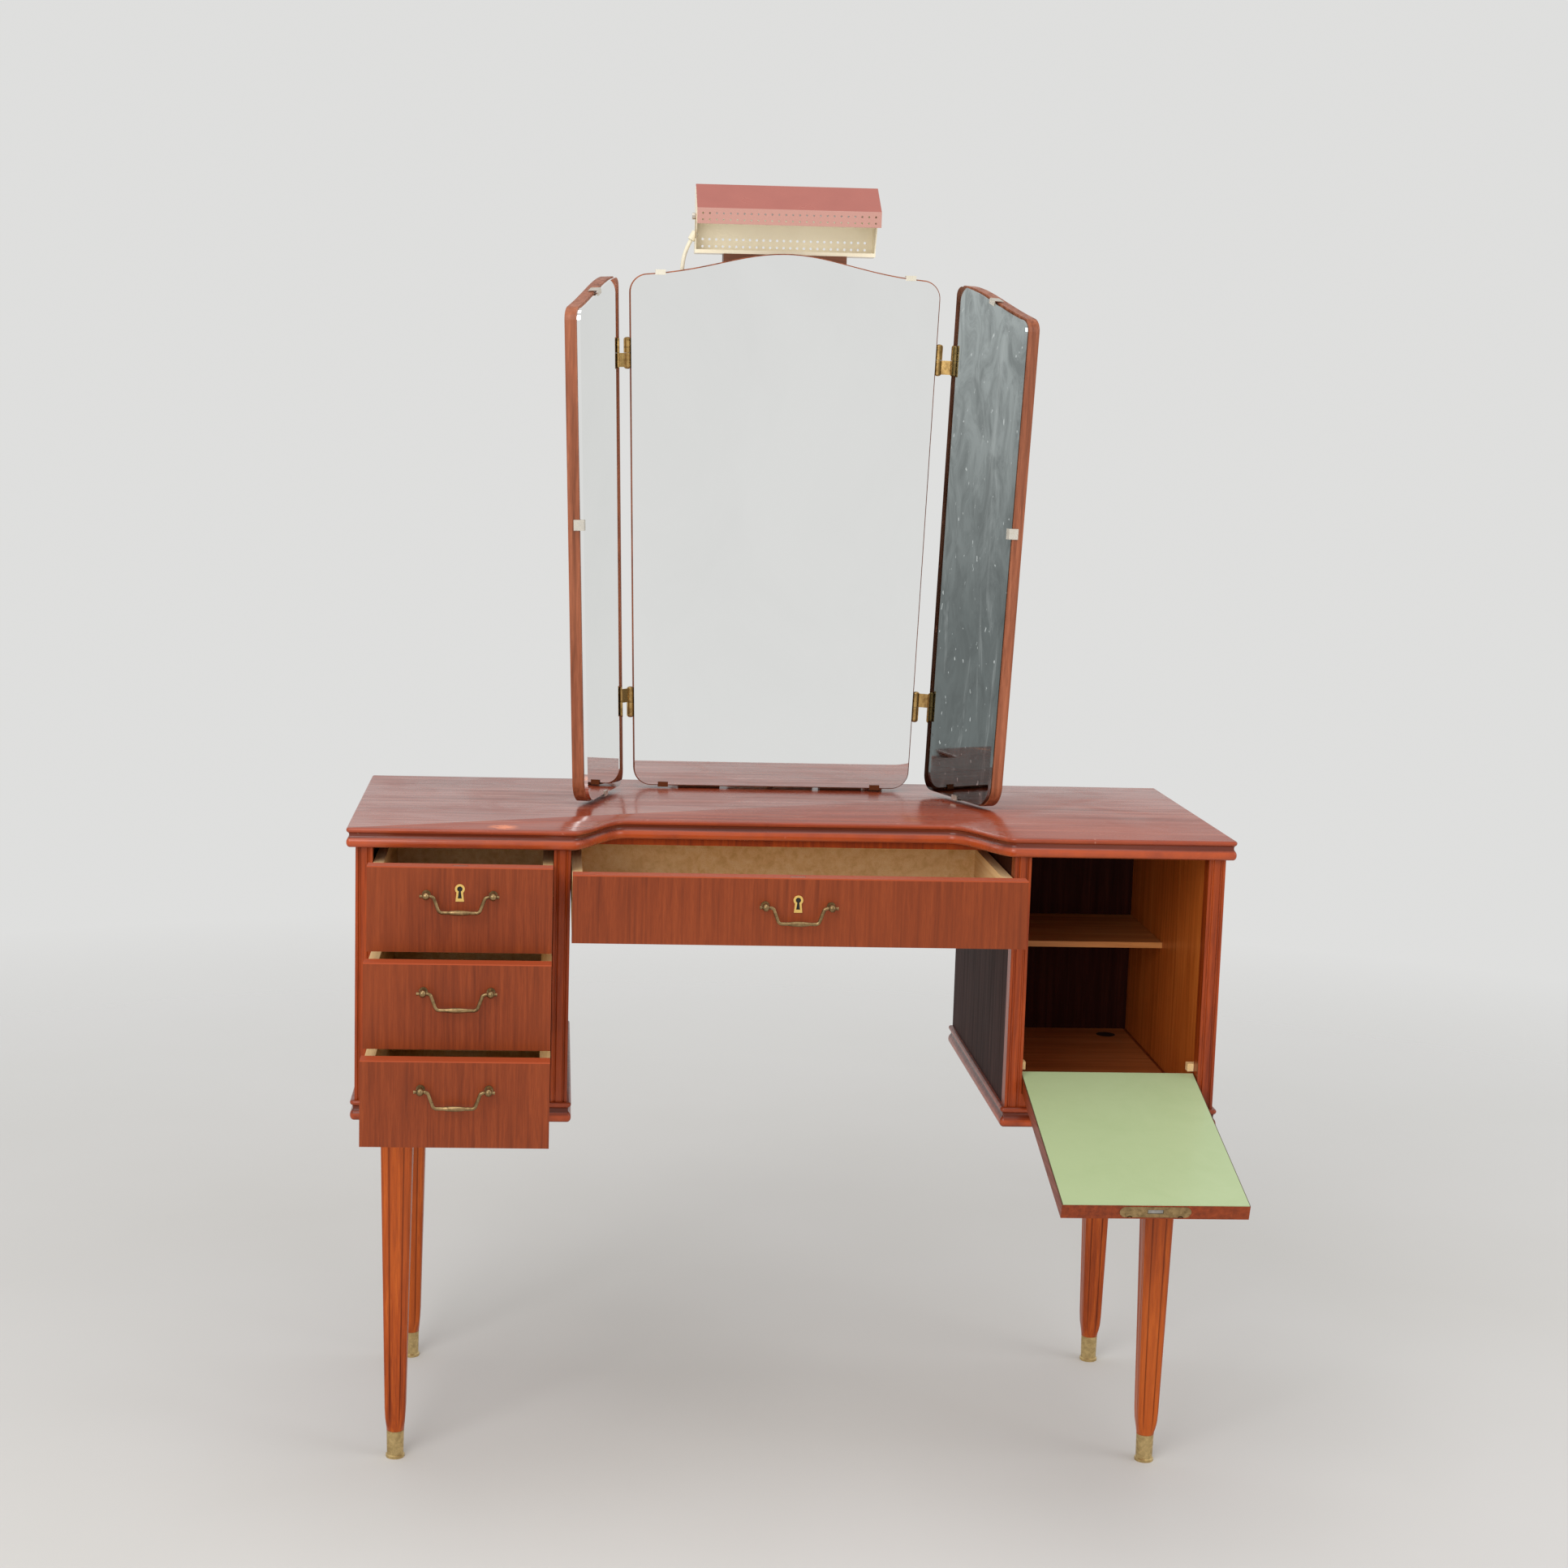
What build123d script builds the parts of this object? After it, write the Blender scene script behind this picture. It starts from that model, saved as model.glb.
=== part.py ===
"""Vanity table with a drop flap, four drawers, a three-part folding mirror and a strip lamp.

Units are millimetres. +Z is up, the front faces -Y and X runs to the right. The origin is
under the middle of the bounding box, on the floor. Drawers, flap, wings and lamp shade are
modelled in the half-open pose in which the table is stored.
"""
from build123d import *
from math import cos, sin, tan, radians
import os

os.makedirs("parts", exist_ok=True)

# ---------------------------------------------------------------- driving dimensions
TOP_WIDTH = 1000.0
TOP_DEPTH = 400.0
TOP_THICKNESS = 22.0
TABLE_HEIGHT = 756.0
OVERHANG = 10.0                  # of the top beyond the pedestals, at the front and the sides
BACK_SETBACK = 8.0               # pedestal back behind the top's back edge
PEDESTAL_WIDTH = 240.0
RECESS_DEPTH = 83.0              # how far the middle of the top's front edge stands back
RECESS_START_X = 250.0           # half width where the curve leaves the front edge
RECESS_END_X = 184.0             # half width where it reaches the recessed edge

BASE_BOTTOM = 420.0              # underside of the pedestals' moulded base boards
BASE_THICKNESS = 23.0
BASE_PROUD = 5.0                 # moulding beyond the posts
BOARD = 16.0                     # side panels
POST = 19.0                      # square posts at the pedestals' front corners
BACK_BOARD = 6.0
MOULD_COVE = 3.0                 # depth of the hollow between the two beads
MOULD_BEAD = 3.0                 # radius of each bead

LEG_X = 443.8
LEG_FRONT_Y = 54.0               # behind the top's front edge
LEG_BACK_Y = 372.0
LEG_TOP_SIZE = 38.0
LEG_FOOT_SIZE = 23.5
FERRULE_HEIGHT = 33.0
FERRULE_RADIUS = 10.3

DRAWER_FRONT_WIDTH = 200.5
DRAWER_FRONT_HEIGHT = 94.0
DRAWER_GAP = 2.0
FRONT_THICKNESS = 20.0
SIDE_THICKNESS = 11.5
BOX_SETDOWN = 14.0               # box sides below the front's top edge
DRAWER_LENGTH = 335.0
DRAWER_PULLS = {"bottom": 186.0, "middle": 145.0, "top": 98.0}
CENTRE_DRAWER_WIDTH = 497.0
CENTRE_DRAWER_BOTTOM = 647.0
CENTRE_DRAWER_HEIGHT = 75.5
CENTRE_DRAWER_LENGTH = 275.0
CENTRE_DRAWER_PULL = 176.0
CENTRE_HANDLE_X = -3.0
GROOVE_DEPTH = 5.0
GROOVE_HEIGHT = 12.0
RUN_CLEARANCE = 0.5              # between a runner and its groove
JOINT_GAP = 0.1                  # glue line between the boards of one box

BAIL_SPAN = 72.0                 # between the two handle posts
BAIL_DROP = 17.7
BAIL_RADIUS = 1.95
BAIL_GRIP = 20.0                 # half length of the swelling along the bar
BAIL_STANDOFF = 13.0             # pivot in front of the drawer front
PIN_RADIUS = 1.5
PIN_CLEARANCE = 0.05
BALL_RADIUS = 4.2

FLAP_WIDTH = 200.5
FLAP_THICKNESS = 17.5
FLAP_PIVOT_HEIGHT = 470.0
FLAP_TAIL = 9.0                  # from the pivot to the flap's lower edge
FLAP_OPEN_ANGLE = 15.9           # below the horizontal, when it rests on its rail
LAMINATE = 1.2
FLAP_PIN_RADIUS = 2.5

BOLT_TRAVEL = 8.0
BOLT_WIDTH = 16.0
BOLT_THICKNESS = 4.0

SHELF_TOP = 593.5
SHELF_THICKNESS = 7.0
SHELF_FRONT_Y = 215.0

MIRROR_FRONT_Y = 330.0           # glass face behind the top's front edge
MIRROR_BOTTOM = 759.5
GLASS = 4.5
WOOD = 14.0
GLASS_INSET = 1.6
MIRROR_TAPER = 0.0293            # sideways per millimetre of height, each edge
MIRROR_HALF_WIDTH = 171.4        # at the bottom
MIRROR_SHOULDER = 1383.0
MIRROR_CREST = 1411.5
CORNER_RADIUS = 22.0

HINGE_HEIGHTS = {"upper": 1289.0, "lower": 863.0}
HINGE_LENGTH = 34.0
BARREL_RADIUS = 4.5
LINK_SPACING = 19.5              # between a hinge's two axes
AXIS_OUTSIDE = 3.0               # axis beyond the panel's edge
AXIS_BEHIND = 5.5                # axis behind the glass face
WING_BOTTOM = 762.0
WING_HEIGHT = 618.0
WING_WIDTH_TOP = 167.0
WING_WIDTH_BOTTOM = 157.0
LINK_ANGLES = {"left": 43.0, "right": 16.5}     # of the link from the mirror's plane
WING_ANGLES = {"left": 73.0, "right": 69.0}     # of the wing from the mirror's plane

LAMP_HALF_WIDTH = 110.0
LAMP_BOTTOM = 1411.0
LAMP_BACK_Y = 377.0              # behind the top's front edge
SHEET = 1.2
SHADE_PIVOT = (345.0, 1454.0)    # behind the top's front edge, and height
SHADE_BACK = (353.0, 1493.0)
SHADE_FRONT = (305.0, 1461.0)
SHADE_LIP = 18.0

CORD_RADIUS = 2.5

# ---------------------------------------------------------------- derived places
flap_length = TABLE_HEIGHT - TOP_THICKNESS - 4.0 - (FLAP_PIVOT_HEIGHT - FLAP_TAIL)
flap_reach = (flap_length - FLAP_TAIL - 0.3) * cos(radians(FLAP_OPEN_ANGLE)) \
    + FLAP_THICKNESS / 2 * sin(radians(FLAP_OPEN_ANGLE)) - OVERHANG - FLAP_THICKNESS / 2
front = -(TOP_DEPTH - flap_reach) / 2           # the top's front edge
back = front + TOP_DEPTH                        # the top's back edge
under_top = TABLE_HEIGHT - TOP_THICKNESS
base_top = BASE_BOTTOM + BASE_THICKNESS
outer_x = TOP_WIDTH / 2 - OVERHANG
inner_x = outer_x - PEDESTAL_WIDTH
pedestal_x = (outer_x + inner_x) / 2
post_y = front + OVERHANG                       # front face of the posts
pedestal_back = back - BACK_SETBACK
SIDES = {"left": -1, "right": 1}


def save(piece: BuildPart, name: str) -> None:
    """Label a finished piece and write it as one STEP file."""
    piece.part.label = name
    export_step(piece.part, f"parts/{name}.step")


def block(x_range, y_range, z_range, mode=Mode.ADD) -> None:
    """Add a box to the open part from its limits along X, Y and Z."""
    (x0, x1), (y0, y1), (z0, z1) = x_range, y_range, z_range
    with Locations(((x0 + x1) / 2, (y0 + y1) / 2, (z0 + z1) / 2)):
        Box(x1 - x0, y1 - y0, z1 - z0, mode=mode)


def top_outline(inset: float) -> None:
    """Outline of the table top, front edge recessed in the middle by a double curve."""
    half, low, high = TOP_WIDTH / 2 - inset, front + inset, back
    recessed = front + RECESS_DEPTH + inset
    with BuildLine() as outline:
        Line((-half, high), (half, high))
        Line((half, high), (half, low))
        Line((half, low), (RECESS_START_X, low))
        Bezier((RECESS_START_X, low), (RECESS_START_X - 24, low),
               (RECESS_END_X + 28, recessed), (RECESS_END_X, recessed))
        Line((RECESS_END_X, recessed), (-RECESS_END_X, recessed))
        Bezier((-RECESS_END_X, recessed), (-RECESS_END_X - 28, recessed),
               (-RECESS_START_X + 24, low), (-RECESS_START_X, low))
        Line((-RECESS_START_X, low), (-half, low))
        Line((-half, low), (-half, high))
    make_face(outline.edges())


# ---------------------------------------------------------------- table top
bead_height = (TOP_THICKNESS - 2 * MOULD_COVE) / 2
flap_centre_y = post_y + FLAP_THICKNESS / 2
with BuildPart() as table_top:
    with BuildSketch(Plane.XY.offset(under_top)):
        top_outline(0.0)
    extrude(amount=bead_height)
    with BuildSketch(Plane.XY.offset(under_top)):
        top_outline(MOULD_COVE)
    extrude(amount=TOP_THICKNESS)
    with BuildSketch(Plane.XY.offset(TABLE_HEIGHT - bead_height)):
        top_outline(0.0)
    extrude(amount=bead_height)
    corners = table_top.edges().filter_by(Axis.Z).filter_by_position(Axis.Y, front - 1, front + 9)
    fillet(corners.filter_by(lambda e: abs(e.center().X) > TOP_WIDTH / 2 - 6), radius=5)
    rim = table_top.faces().filter_by(Axis.Z).sort_by(Axis.Z)[-1].edges()
    fillet(rim.filter_by(lambda e: e.center().Y < back - 1), radius=MOULD_BEAD)
    # mortises for the lock bolts of the top drawer and of the flap
    for x, y in ((-pedestal_x, post_y + FRONT_THICKNESS / 2), (pedestal_x, flap_centre_y)):
        block((x - BOLT_WIDTH / 2 - 1, x + BOLT_WIDTH / 2 + 1),
              (y - BOLT_THICKNESS / 2 - 1, y + BOLT_THICKNESS / 2 + 1),
              (under_top, under_top + 9), mode=Mode.SUBTRACT)
    # shallow seat of the strike plate
    block((pedestal_x - 19.2, pedestal_x + 19.2), (flap_centre_y - 6.2, flap_centre_y + 6.2),
          (under_top, under_top + 1.5), mode=Mode.SUBTRACT)
save(table_top, "table_top")

# ---------------------------------------------------------------- pedestals
with BuildPart() as base_boards:
    for side in SIDES.values():
        centre = side * pedestal_x
        for inset, z0, height in ((0.0, 0.0, 8.5), (MOULD_COVE, 0.0, BASE_THICKNESS), (0.0, 14.5, 8.5)):
            half = PEDESTAL_WIDTH / 2 + BASE_PROUD - inset
            block((centre - half, centre + half), (post_y - BASE_PROUD + inset, pedestal_back),
                  (BASE_BOTTOM + z0, BASE_BOTTOM + z0 + height))
    upper = base_boards.faces().filter_by(Axis.Z).group_by(Axis.Z)[-1].edges()
    fillet(upper.filter_by(lambda e: e.center().Y < pedestal_back - 1), radius=MOULD_BEAD)
    lower = base_boards.faces().filter_by(Axis.Z).group_by(Axis.Z)[0].edges()
    fillet(lower.filter_by(lambda e: e.center().Y < pedestal_back - 1), radius=MOULD_BEAD)
    # round recess over the leg's fixing, near the back of the cabinet's floor
    with Locations((441.0, front + 353.0, base_top - 4)):
        Cylinder(12.0, 8.0 + 0.01, mode=Mode.SUBTRACT)
save(base_boards, "base_boards")

for name, side in SIDES.items():
    with BuildPart() as panels:
        for x in (outer_x - BOARD / 2, inner_x + BOARD / 2):
            block((side * x - BOARD / 2, side * x + BOARD / 2), (post_y + POST, pedestal_back),
                  (base_top, under_top))
    save(panels, f"{name}_side_panels")

with BuildPart() as back_panels:
    for side in SIDES.values():
        half = PEDESTAL_WIDTH / 2 - BOARD
        block((side * pedestal_x - half, side * pedestal_x + half),
              (pedestal_back - BACK_BOARD, pedestal_back), (base_top, under_top))
save(back_panels, "back_panels")

post_centres = [side * x for side in SIDES.values() for x in (outer_x - POST / 2, inner_x + POST / 2)]
with BuildPart() as front_posts:
    with BuildSketch(Plane.XY.offset(base_top)):
        with Locations(*[(x, post_y + POST / 2) for x in post_centres]):
            Rectangle(POST, POST)
        # two flutes leave a rounded bead along the middle of each front face
        with Locations(*[(x + dx, post_y) for x in post_centres for dx in (-5.0, 5.0)]):
            Circle(1.6, mode=Mode.SUBTRACT)
    extrude(amount=under_top - base_top)
    for x in (inner_x + POST, outer_x - POST):
        with Locations(Location((x, post_y + FLAP_THICKNESS / 2, FLAP_PIVOT_HEIGHT), (0, 90, 0))):
            Cylinder(FLAP_PIN_RADIUS + 0.02, 20.0, mode=Mode.SUBTRACT)
save(front_posts, "front_posts")

# ---------------------------------------------------------------- legs and ferrules
leg_places = [(x, front + y) for x in (-LEG_X, LEG_X) for y in (LEG_FRONT_Y, LEG_BACK_Y)]
with BuildPart() as legs:
    for x, y in leg_places:
        with BuildSketch(Plane.XY.offset(BASE_BOTTOM)):
            with Locations((x, y)):
                RectangleRounded(LEG_TOP_SIZE, LEG_TOP_SIZE, 6)
        with BuildSketch(Plane.XY.offset(FERRULE_HEIGHT + 14)):
            with Locations((x, y)):
                RectangleRounded(LEG_FOOT_SIZE, LEG_FOOT_SIZE, 6)
        loft()
        with BuildSketch(Plane.XY.offset(FERRULE_HEIGHT + 14)):
            with Locations((x, y)):
                RectangleRounded(LEG_FOOT_SIZE, LEG_FOOT_SIZE, 6)
        with BuildSketch(Plane.XY.offset(FERRULE_HEIGHT)):
            with Locations((x, y)):
                RectangleRounded(2 * FERRULE_RADIUS, 2 * FERRULE_RADIUS, FERRULE_RADIUS - 0.05)
        loft()
        with BuildSketch(Plane.XY.offset(6)):
            with Locations((x, y)):
                Circle(8)
        extrude(amount=FERRULE_HEIGHT - 6)
save(legs, "legs")

with BuildPart() as leg_ferrules:
    for x, y in leg_places:
        with BuildSketch(Plane.XZ.offset(-y)):
            with BuildLine():
                Polyline((x, 0), (x + 11, 0), (x + 11, 3), (x + 9.7, 4), (x + 10.25, FERRULE_HEIGHT),
                         (x + 8, FERRULE_HEIGHT), (x + 8, 6), (x, 6), close=True)
            make_face()
        revolve(axis=Axis((x, y, 0), (0, 0, 1)))
save(leg_ferrules, "leg_ferrules")

# ---------------------------------------------------------------- drawers
drawer_bottoms = {}
for level, key in enumerate(("bottom", "middle", "top")):
    drawer_bottoms[key] = base_top + 1 + level * (DRAWER_FRONT_HEIGHT + DRAWER_GAP)


def make_front(name, centre_x, width, y, z, height, bolt_x) -> None:
    """One drawer front with its outer face at y, slotted from above for the lock bolt."""
    with BuildPart() as piece:
        block((centre_x - width / 2, centre_x + width / 2), (y, y + FRONT_THICKNESS), (z, z + height))
        if bolt_x is not None:
            block((bolt_x - BOLT_WIDTH / 2 - 0.4, bolt_x + BOLT_WIDTH / 2 + 0.4),
                  (y + FRONT_THICKNESS / 2 - BOLT_THICKNESS / 2 - 0.4,
                   y + FRONT_THICKNESS / 2 + BOLT_THICKNESS / 2 + 0.4),
                  (z + height - 26, z + height), mode=Mode.SUBTRACT)
    save(piece, f"{name}_drawer_front")


def make_box(name, centre_x, width, y, z, height, length) -> None:
    """Sides, back and bottom behind a drawer front, with a groove outside for the runners."""
    y0 = y + FRONT_THICKNESS + JOINT_GAP
    y1 = y0 + length
    z0, z1 = z + 6, z + height - BOX_SETDOWN
    groove = (z0 + z1) / 2
    with BuildPart() as piece:
        for side in SIDES.values():
            x = centre_x + side * (width / 2 - SIDE_THICKNESS / 2)
            block((x - SIDE_THICKNESS / 2, x + SIDE_THICKNESS / 2), (y0, y1), (z0, z1))
            edge = centre_x + side * width / 2
            block((edge - GROOVE_DEPTH, edge + GROOVE_DEPTH), (y0 + 8, y1 + 1),
                  (groove - GROOVE_HEIGHT / 2, groove + GROOVE_HEIGHT / 2), mode=Mode.SUBTRACT)
        inside = width / 2 - SIDE_THICKNESS - JOINT_GAP
        block((centre_x - inside, centre_x + inside), (y1 - SIDE_THICKNESS, y1), (z0, z1))
        block((centre_x - inside, centre_x + inside), (y0, y1 - SIDE_THICKNESS - JOINT_GAP),
              (z0 + 6, z0 + 10))
    save(piece, f"{name}_drawer_box")


def make_fittings(name, centre_x, y, z_posts, key_z) -> None:
    """Two handle posts with ball ends, and the keyhole plate where the drawer locks."""
    with BuildPart() as piece:
        for side in SIDES.values():
            x = centre_x + side * BAIL_SPAN / 2
            neck = y - BAIL_STANDOFF + (BALL_RADIUS ** 2 - 2.4 ** 2) ** 0.5
            # half profile of a round foot, a neck and a ball, turned about the post's axis
            with BuildSketch(Plane.YZ.offset(x)):
                with BuildLine():
                    Polyline((y, z_posts), (y, z_posts + 4.6), (y - 1.5, z_posts + 4.6),
                             (y - 1.5, z_posts + 2.4), (neck, z_posts + 2.4))
                    ThreePointArc((neck, z_posts + 2.4), (y - BAIL_STANDOFF, z_posts + BALL_RADIUS),
                                  (y - BAIL_STANDOFF - BALL_RADIUS, z_posts))
                    Line((y - BAIL_STANDOFF - BALL_RADIUS, z_posts), (y, z_posts))
                make_face()
            revolve(axis=Axis((x, y, z_posts), (0, 1, 0)))
            with Locations(Location((x, y - BAIL_STANDOFF, z_posts), (0, 90, 0))):
                Cylinder(PIN_RADIUS + PIN_CLEARANCE, 3 * BALL_RADIUS, mode=Mode.SUBTRACT)
        if key_z:
            with BuildSketch(Plane.XZ.offset(-y)):
                with Locations((centre_x, key_z + 4.3)):
                    Circle(5.3)
                with Locations((centre_x, key_z - 2.7)):
                    Trapezoid(9.2, 13.6, 84)
                with Locations((centre_x, key_z + 4.3)):
                    Circle(2.9, mode=Mode.SUBTRACT)
                with Locations((centre_x, key_z - 1.4)):
                    Trapezoid(4.4, 9.4, 82, mode=Mode.SUBTRACT)
            extrude(amount=1.2)
    save(piece, f"{name}_drawer_fittings")


def make_bail(name, centre_x, y, z_posts) -> None:
    """Swinging bail: pins through the ball posts, arms curving in and down to a flat bar."""
    pivot_y = y - BAIL_STANDOFF
    half = BAIL_SPAN / 2
    with BuildPart() as piece:
        with BuildLine() as path:
            FilletPolyline((centre_x - half + 5.2, pivot_y, z_posts),
                           (centre_x - half + 8.4, pivot_y, z_posts - 1.2),
                           (centre_x - half + 14.5, pivot_y, z_posts - BAIL_DROP),
                           (centre_x + half - 14.5, pivot_y, z_posts - BAIL_DROP),
                           (centre_x + half - 8.4, pivot_y, z_posts - 1.2),
                           (centre_x + half - 5.2, pivot_y, z_posts), radius=(2.6, 5.0, 5.0, 2.6))
        with BuildSketch(Plane(origin=path.line @ 0, z_dir=path.line % 0)):
            Circle(BAIL_RADIUS)
        sweep()
        # swelling grip along the middle of the bar
        with BuildSketch(Plane.XZ.offset(-pivot_y)):
            with BuildLine():
                bar_z = z_posts - BAIL_DROP
                Line((centre_x - BAIL_GRIP, bar_z), (centre_x + BAIL_GRIP, bar_z))
                ThreePointArc((centre_x + BAIL_GRIP, bar_z), (centre_x, bar_z + 2.9), (centre_x - BAIL_GRIP, bar_z))
            make_face()
        revolve(axis=Axis((centre_x, pivot_y, bar_z), (1, 0, 0)))
        for side in SIDES.values():
            x = centre_x + side * half
            with Locations(Location((x, pivot_y, z_posts), (0, 90, 0))):
                Cylinder(PIN_RADIUS, 2 * BALL_RADIUS + 3.4)
            with Locations(Location((x + side * (BALL_RADIUS + 1.7), pivot_y, z_posts), (0, 90, 0))):
                Cylinder(1.9, 1.8)
    save(piece, f"{name}_drawer_bail")


def make_bolt(name, centre_x, centre_y, top_z) -> None:
    """Lock bolt, drawn in, its top edge just below the surface it comes out of."""
    with BuildPart() as piece:
        block((centre_x - BOLT_WIDTH / 2, centre_x + BOLT_WIDTH / 2),
              (centre_y - BOLT_THICKNESS / 2, centre_y + BOLT_THICKNESS / 2),
              (top_z - 14, top_z - 0.3))
    save(piece, f"{name}_drawer_bolt")


for key, pull in DRAWER_PULLS.items():
    z_low = drawer_bottoms[key]
    y_face = post_y - pull
    z_high = z_low + DRAWER_FRONT_HEIGHT
    posts_z = (z_low + z_high) / 2 + 17.0
    locked = key == "top"
    make_front(key, -pedestal_x, DRAWER_FRONT_WIDTH, y_face, z_low, DRAWER_FRONT_HEIGHT,
               -pedestal_x if locked else None)
    make_box(key, -pedestal_x, DRAWER_FRONT_WIDTH, y_face, z_low, DRAWER_FRONT_HEIGHT, DRAWER_LENGTH)
    make_fittings(key, -pedestal_x, y_face, posts_z, posts_z + 2.0 if locked else None)
    make_bail(key, -pedestal_x, y_face, posts_z)
    if locked:
        make_bolt(key, -pedestal_x, y_face + FRONT_THICKNESS / 2, z_high)

centre_closed_y = front + RECESS_DEPTH + OVERHANG
centre_face_y = centre_closed_y - CENTRE_DRAWER_PULL
centre_top = CENTRE_DRAWER_BOTTOM + CENTRE_DRAWER_HEIGHT
centre_posts_z = CENTRE_DRAWER_BOTTOM + CENTRE_DRAWER_HEIGHT / 2 + 7.3
make_front("centre", 0.0, CENTRE_DRAWER_WIDTH, centre_face_y, CENTRE_DRAWER_BOTTOM,
           CENTRE_DRAWER_HEIGHT, CENTRE_HANDLE_X)
make_box("centre", 0.0, CENTRE_DRAWER_WIDTH, centre_face_y, CENTRE_DRAWER_BOTTOM,
         CENTRE_DRAWER_HEIGHT, CENTRE_DRAWER_LENGTH)
make_fittings("centre", CENTRE_HANDLE_X, centre_face_y, centre_posts_z, centre_posts_z + 2.0)
make_bail("centre", CENTRE_HANDLE_X, centre_face_y, centre_posts_z)
make_bolt("centre", CENTRE_HANDLE_X, centre_face_y + FRONT_THICKNESS / 2, centre_top)

# ---------------------------------------------------------------- runners and rails
with BuildPart() as drawer_runners:
    thickness = GROOVE_HEIGHT - 2 * RUN_CLEARANCE
    for key in DRAWER_PULLS:
        z = drawer_bottoms[key] + (6 + DRAWER_FRONT_HEIGHT - BOX_SETDOWN) / 2
        for side in SIDES.values():
            panel = -pedestal_x + side * (PEDESTAL_WIDTH / 2 - BOARD)
            tip = -pedestal_x + side * (DRAWER_FRONT_WIDTH / 2 - GROOVE_DEPTH + RUN_CLEARANCE)
            block((min(panel, tip), max(panel, tip)), (post_y + POST + 12, pedestal_back - BACK_BOARD),
                  (z - thickness / 2, z + thickness / 2))
    z = CENTRE_DRAWER_BOTTOM + (6 + CENTRE_DRAWER_HEIGHT - BOX_SETDOWN) / 2
    for side in SIDES.values():
        tip = CENTRE_DRAWER_WIDTH / 2 - GROOVE_DEPTH + RUN_CLEARANCE
        block((min(side * tip, side * inner_x), max(side * tip, side * inner_x)),
              (centre_closed_y + FRONT_THICKNESS + 22, pedestal_back - 20),
              (z - thickness / 2, z + thickness / 2))
save(drawer_runners, "drawer_runners")

with BuildPart() as rails:
    # thin rail under the top that the centre drawer locks into
    rail_y = centre_closed_y + 2
    block((-inner_x, inner_x), (rail_y, rail_y + 45), (centre_top + 3, under_top))
    block((CENTRE_HANDLE_X - BOLT_WIDTH / 2 - 1, CENTRE_HANDLE_X + BOLT_WIDTH / 2 + 1),
          (centre_closed_y + FRONT_THICKNESS / 2 - 3, centre_closed_y + FRONT_THICKNESS / 2 + 3),
          (centre_top, under_top + 1), mode=Mode.SUBTRACT)
    # rear rail between the pedestals, over the drawer's box, and a thin board closing the back below it
    block((-inner_x, inner_x), (pedestal_back - 18, pedestal_back), (centre_top - 12.5, under_top))
    block((-inner_x, inner_x), (pedestal_back - 3, pedestal_back), (CENTRE_DRAWER_BOTTOM, centre_top - 12))
    # rail below the flap, between the posts
    block((inner_x + POST, outer_x - POST), (post_y, post_y + POST), (base_top, 457.2))
    block((inner_x + POST, outer_x - POST), (post_y, post_y + 3), (457.0, 458.3))
save(rails, "rails")

# ---------------------------------------------------------------- cabinet and flap
cabinet = (inner_x + BOARD, outer_x - BOARD)
with BuildPart() as shelf:
    block((cabinet[0] + 0.5, cabinet[1] - 0.5), (front + SHELF_FRONT_Y, pedestal_back - BACK_BOARD - 1),
          (SHELF_TOP - SHELF_THICKNESS, SHELF_TOP))
save(shelf, "shelf")

with BuildPart() as shelf_pins_and_stops:
    for x, direction in ((cabinet[0], 1), (cabinet[1], -1)):
        for y in (front + SHELF_FRONT_Y + 28, front + SHELF_FRONT_Y + 132):
            with Locations(Location((x + direction * 5, y, SHELF_TOP - SHELF_THICKNESS - 2.5), (0, 90, 0))):
                Cylinder(2.5, 10)
        near, far = sorted((x, x + direction * 10))
        block((near, far), (post_y + POST + 0.1, post_y + POST + 10), (482.0, 491.0))
save(shelf_pins_and_stops, "shelf_pins_and_stops")

with BuildPart() as flap_hardware:
    for x, direction in ((inner_x + POST, 1), (outer_x - POST, -1)):
        with Locations(Location((x + direction * 1.0, flap_centre_y, FLAP_PIVOT_HEIGHT), (0, 90, 0))):
            Cylinder(FLAP_PIN_RADIUS, 22.0)
    block((pedestal_x - 19, pedestal_x + 19), (flap_centre_y - 6, flap_centre_y + 6),
          (under_top, under_top + 1.5))
    block((pedestal_x - BOLT_WIDTH / 2 - 1, pedestal_x + BOLT_WIDTH / 2 + 1),
          (flap_centre_y - BOLT_THICKNESS / 2 - 1, flap_centre_y + BOLT_THICKNESS / 2 + 1),
          (under_top - 1, under_top + 2), mode=Mode.SUBTRACT)
save(flap_hardware, "flap_hardware")

# the flap's own plane: origin on the pivot, local y outwards, local z through the inner face
open_angle = radians(FLAP_OPEN_ANGLE)
flap_plane = Plane(origin=(pedestal_x, flap_centre_y, FLAP_PIVOT_HEIGHT), x_dir=(-1, 0, 0),
                   z_dir=(0, -sin(open_angle), cos(open_angle)))
flap_end = flap_length - FLAP_TAIL
half_flap = FLAP_THICKNESS / 2
wood_face = half_flap - LAMINATE


def flap_sketch(x_size, y_low, y_high, z) -> Sketch:
    """Rectangle across the flap, from y_low to y_high outwards, on the level z."""
    with BuildSketch(flap_plane.offset(z)) as piece:
        with Locations((0, (y_low + y_high) / 2)):
            Rectangle(x_size, y_high - y_low)
    return piece.sketch


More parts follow.
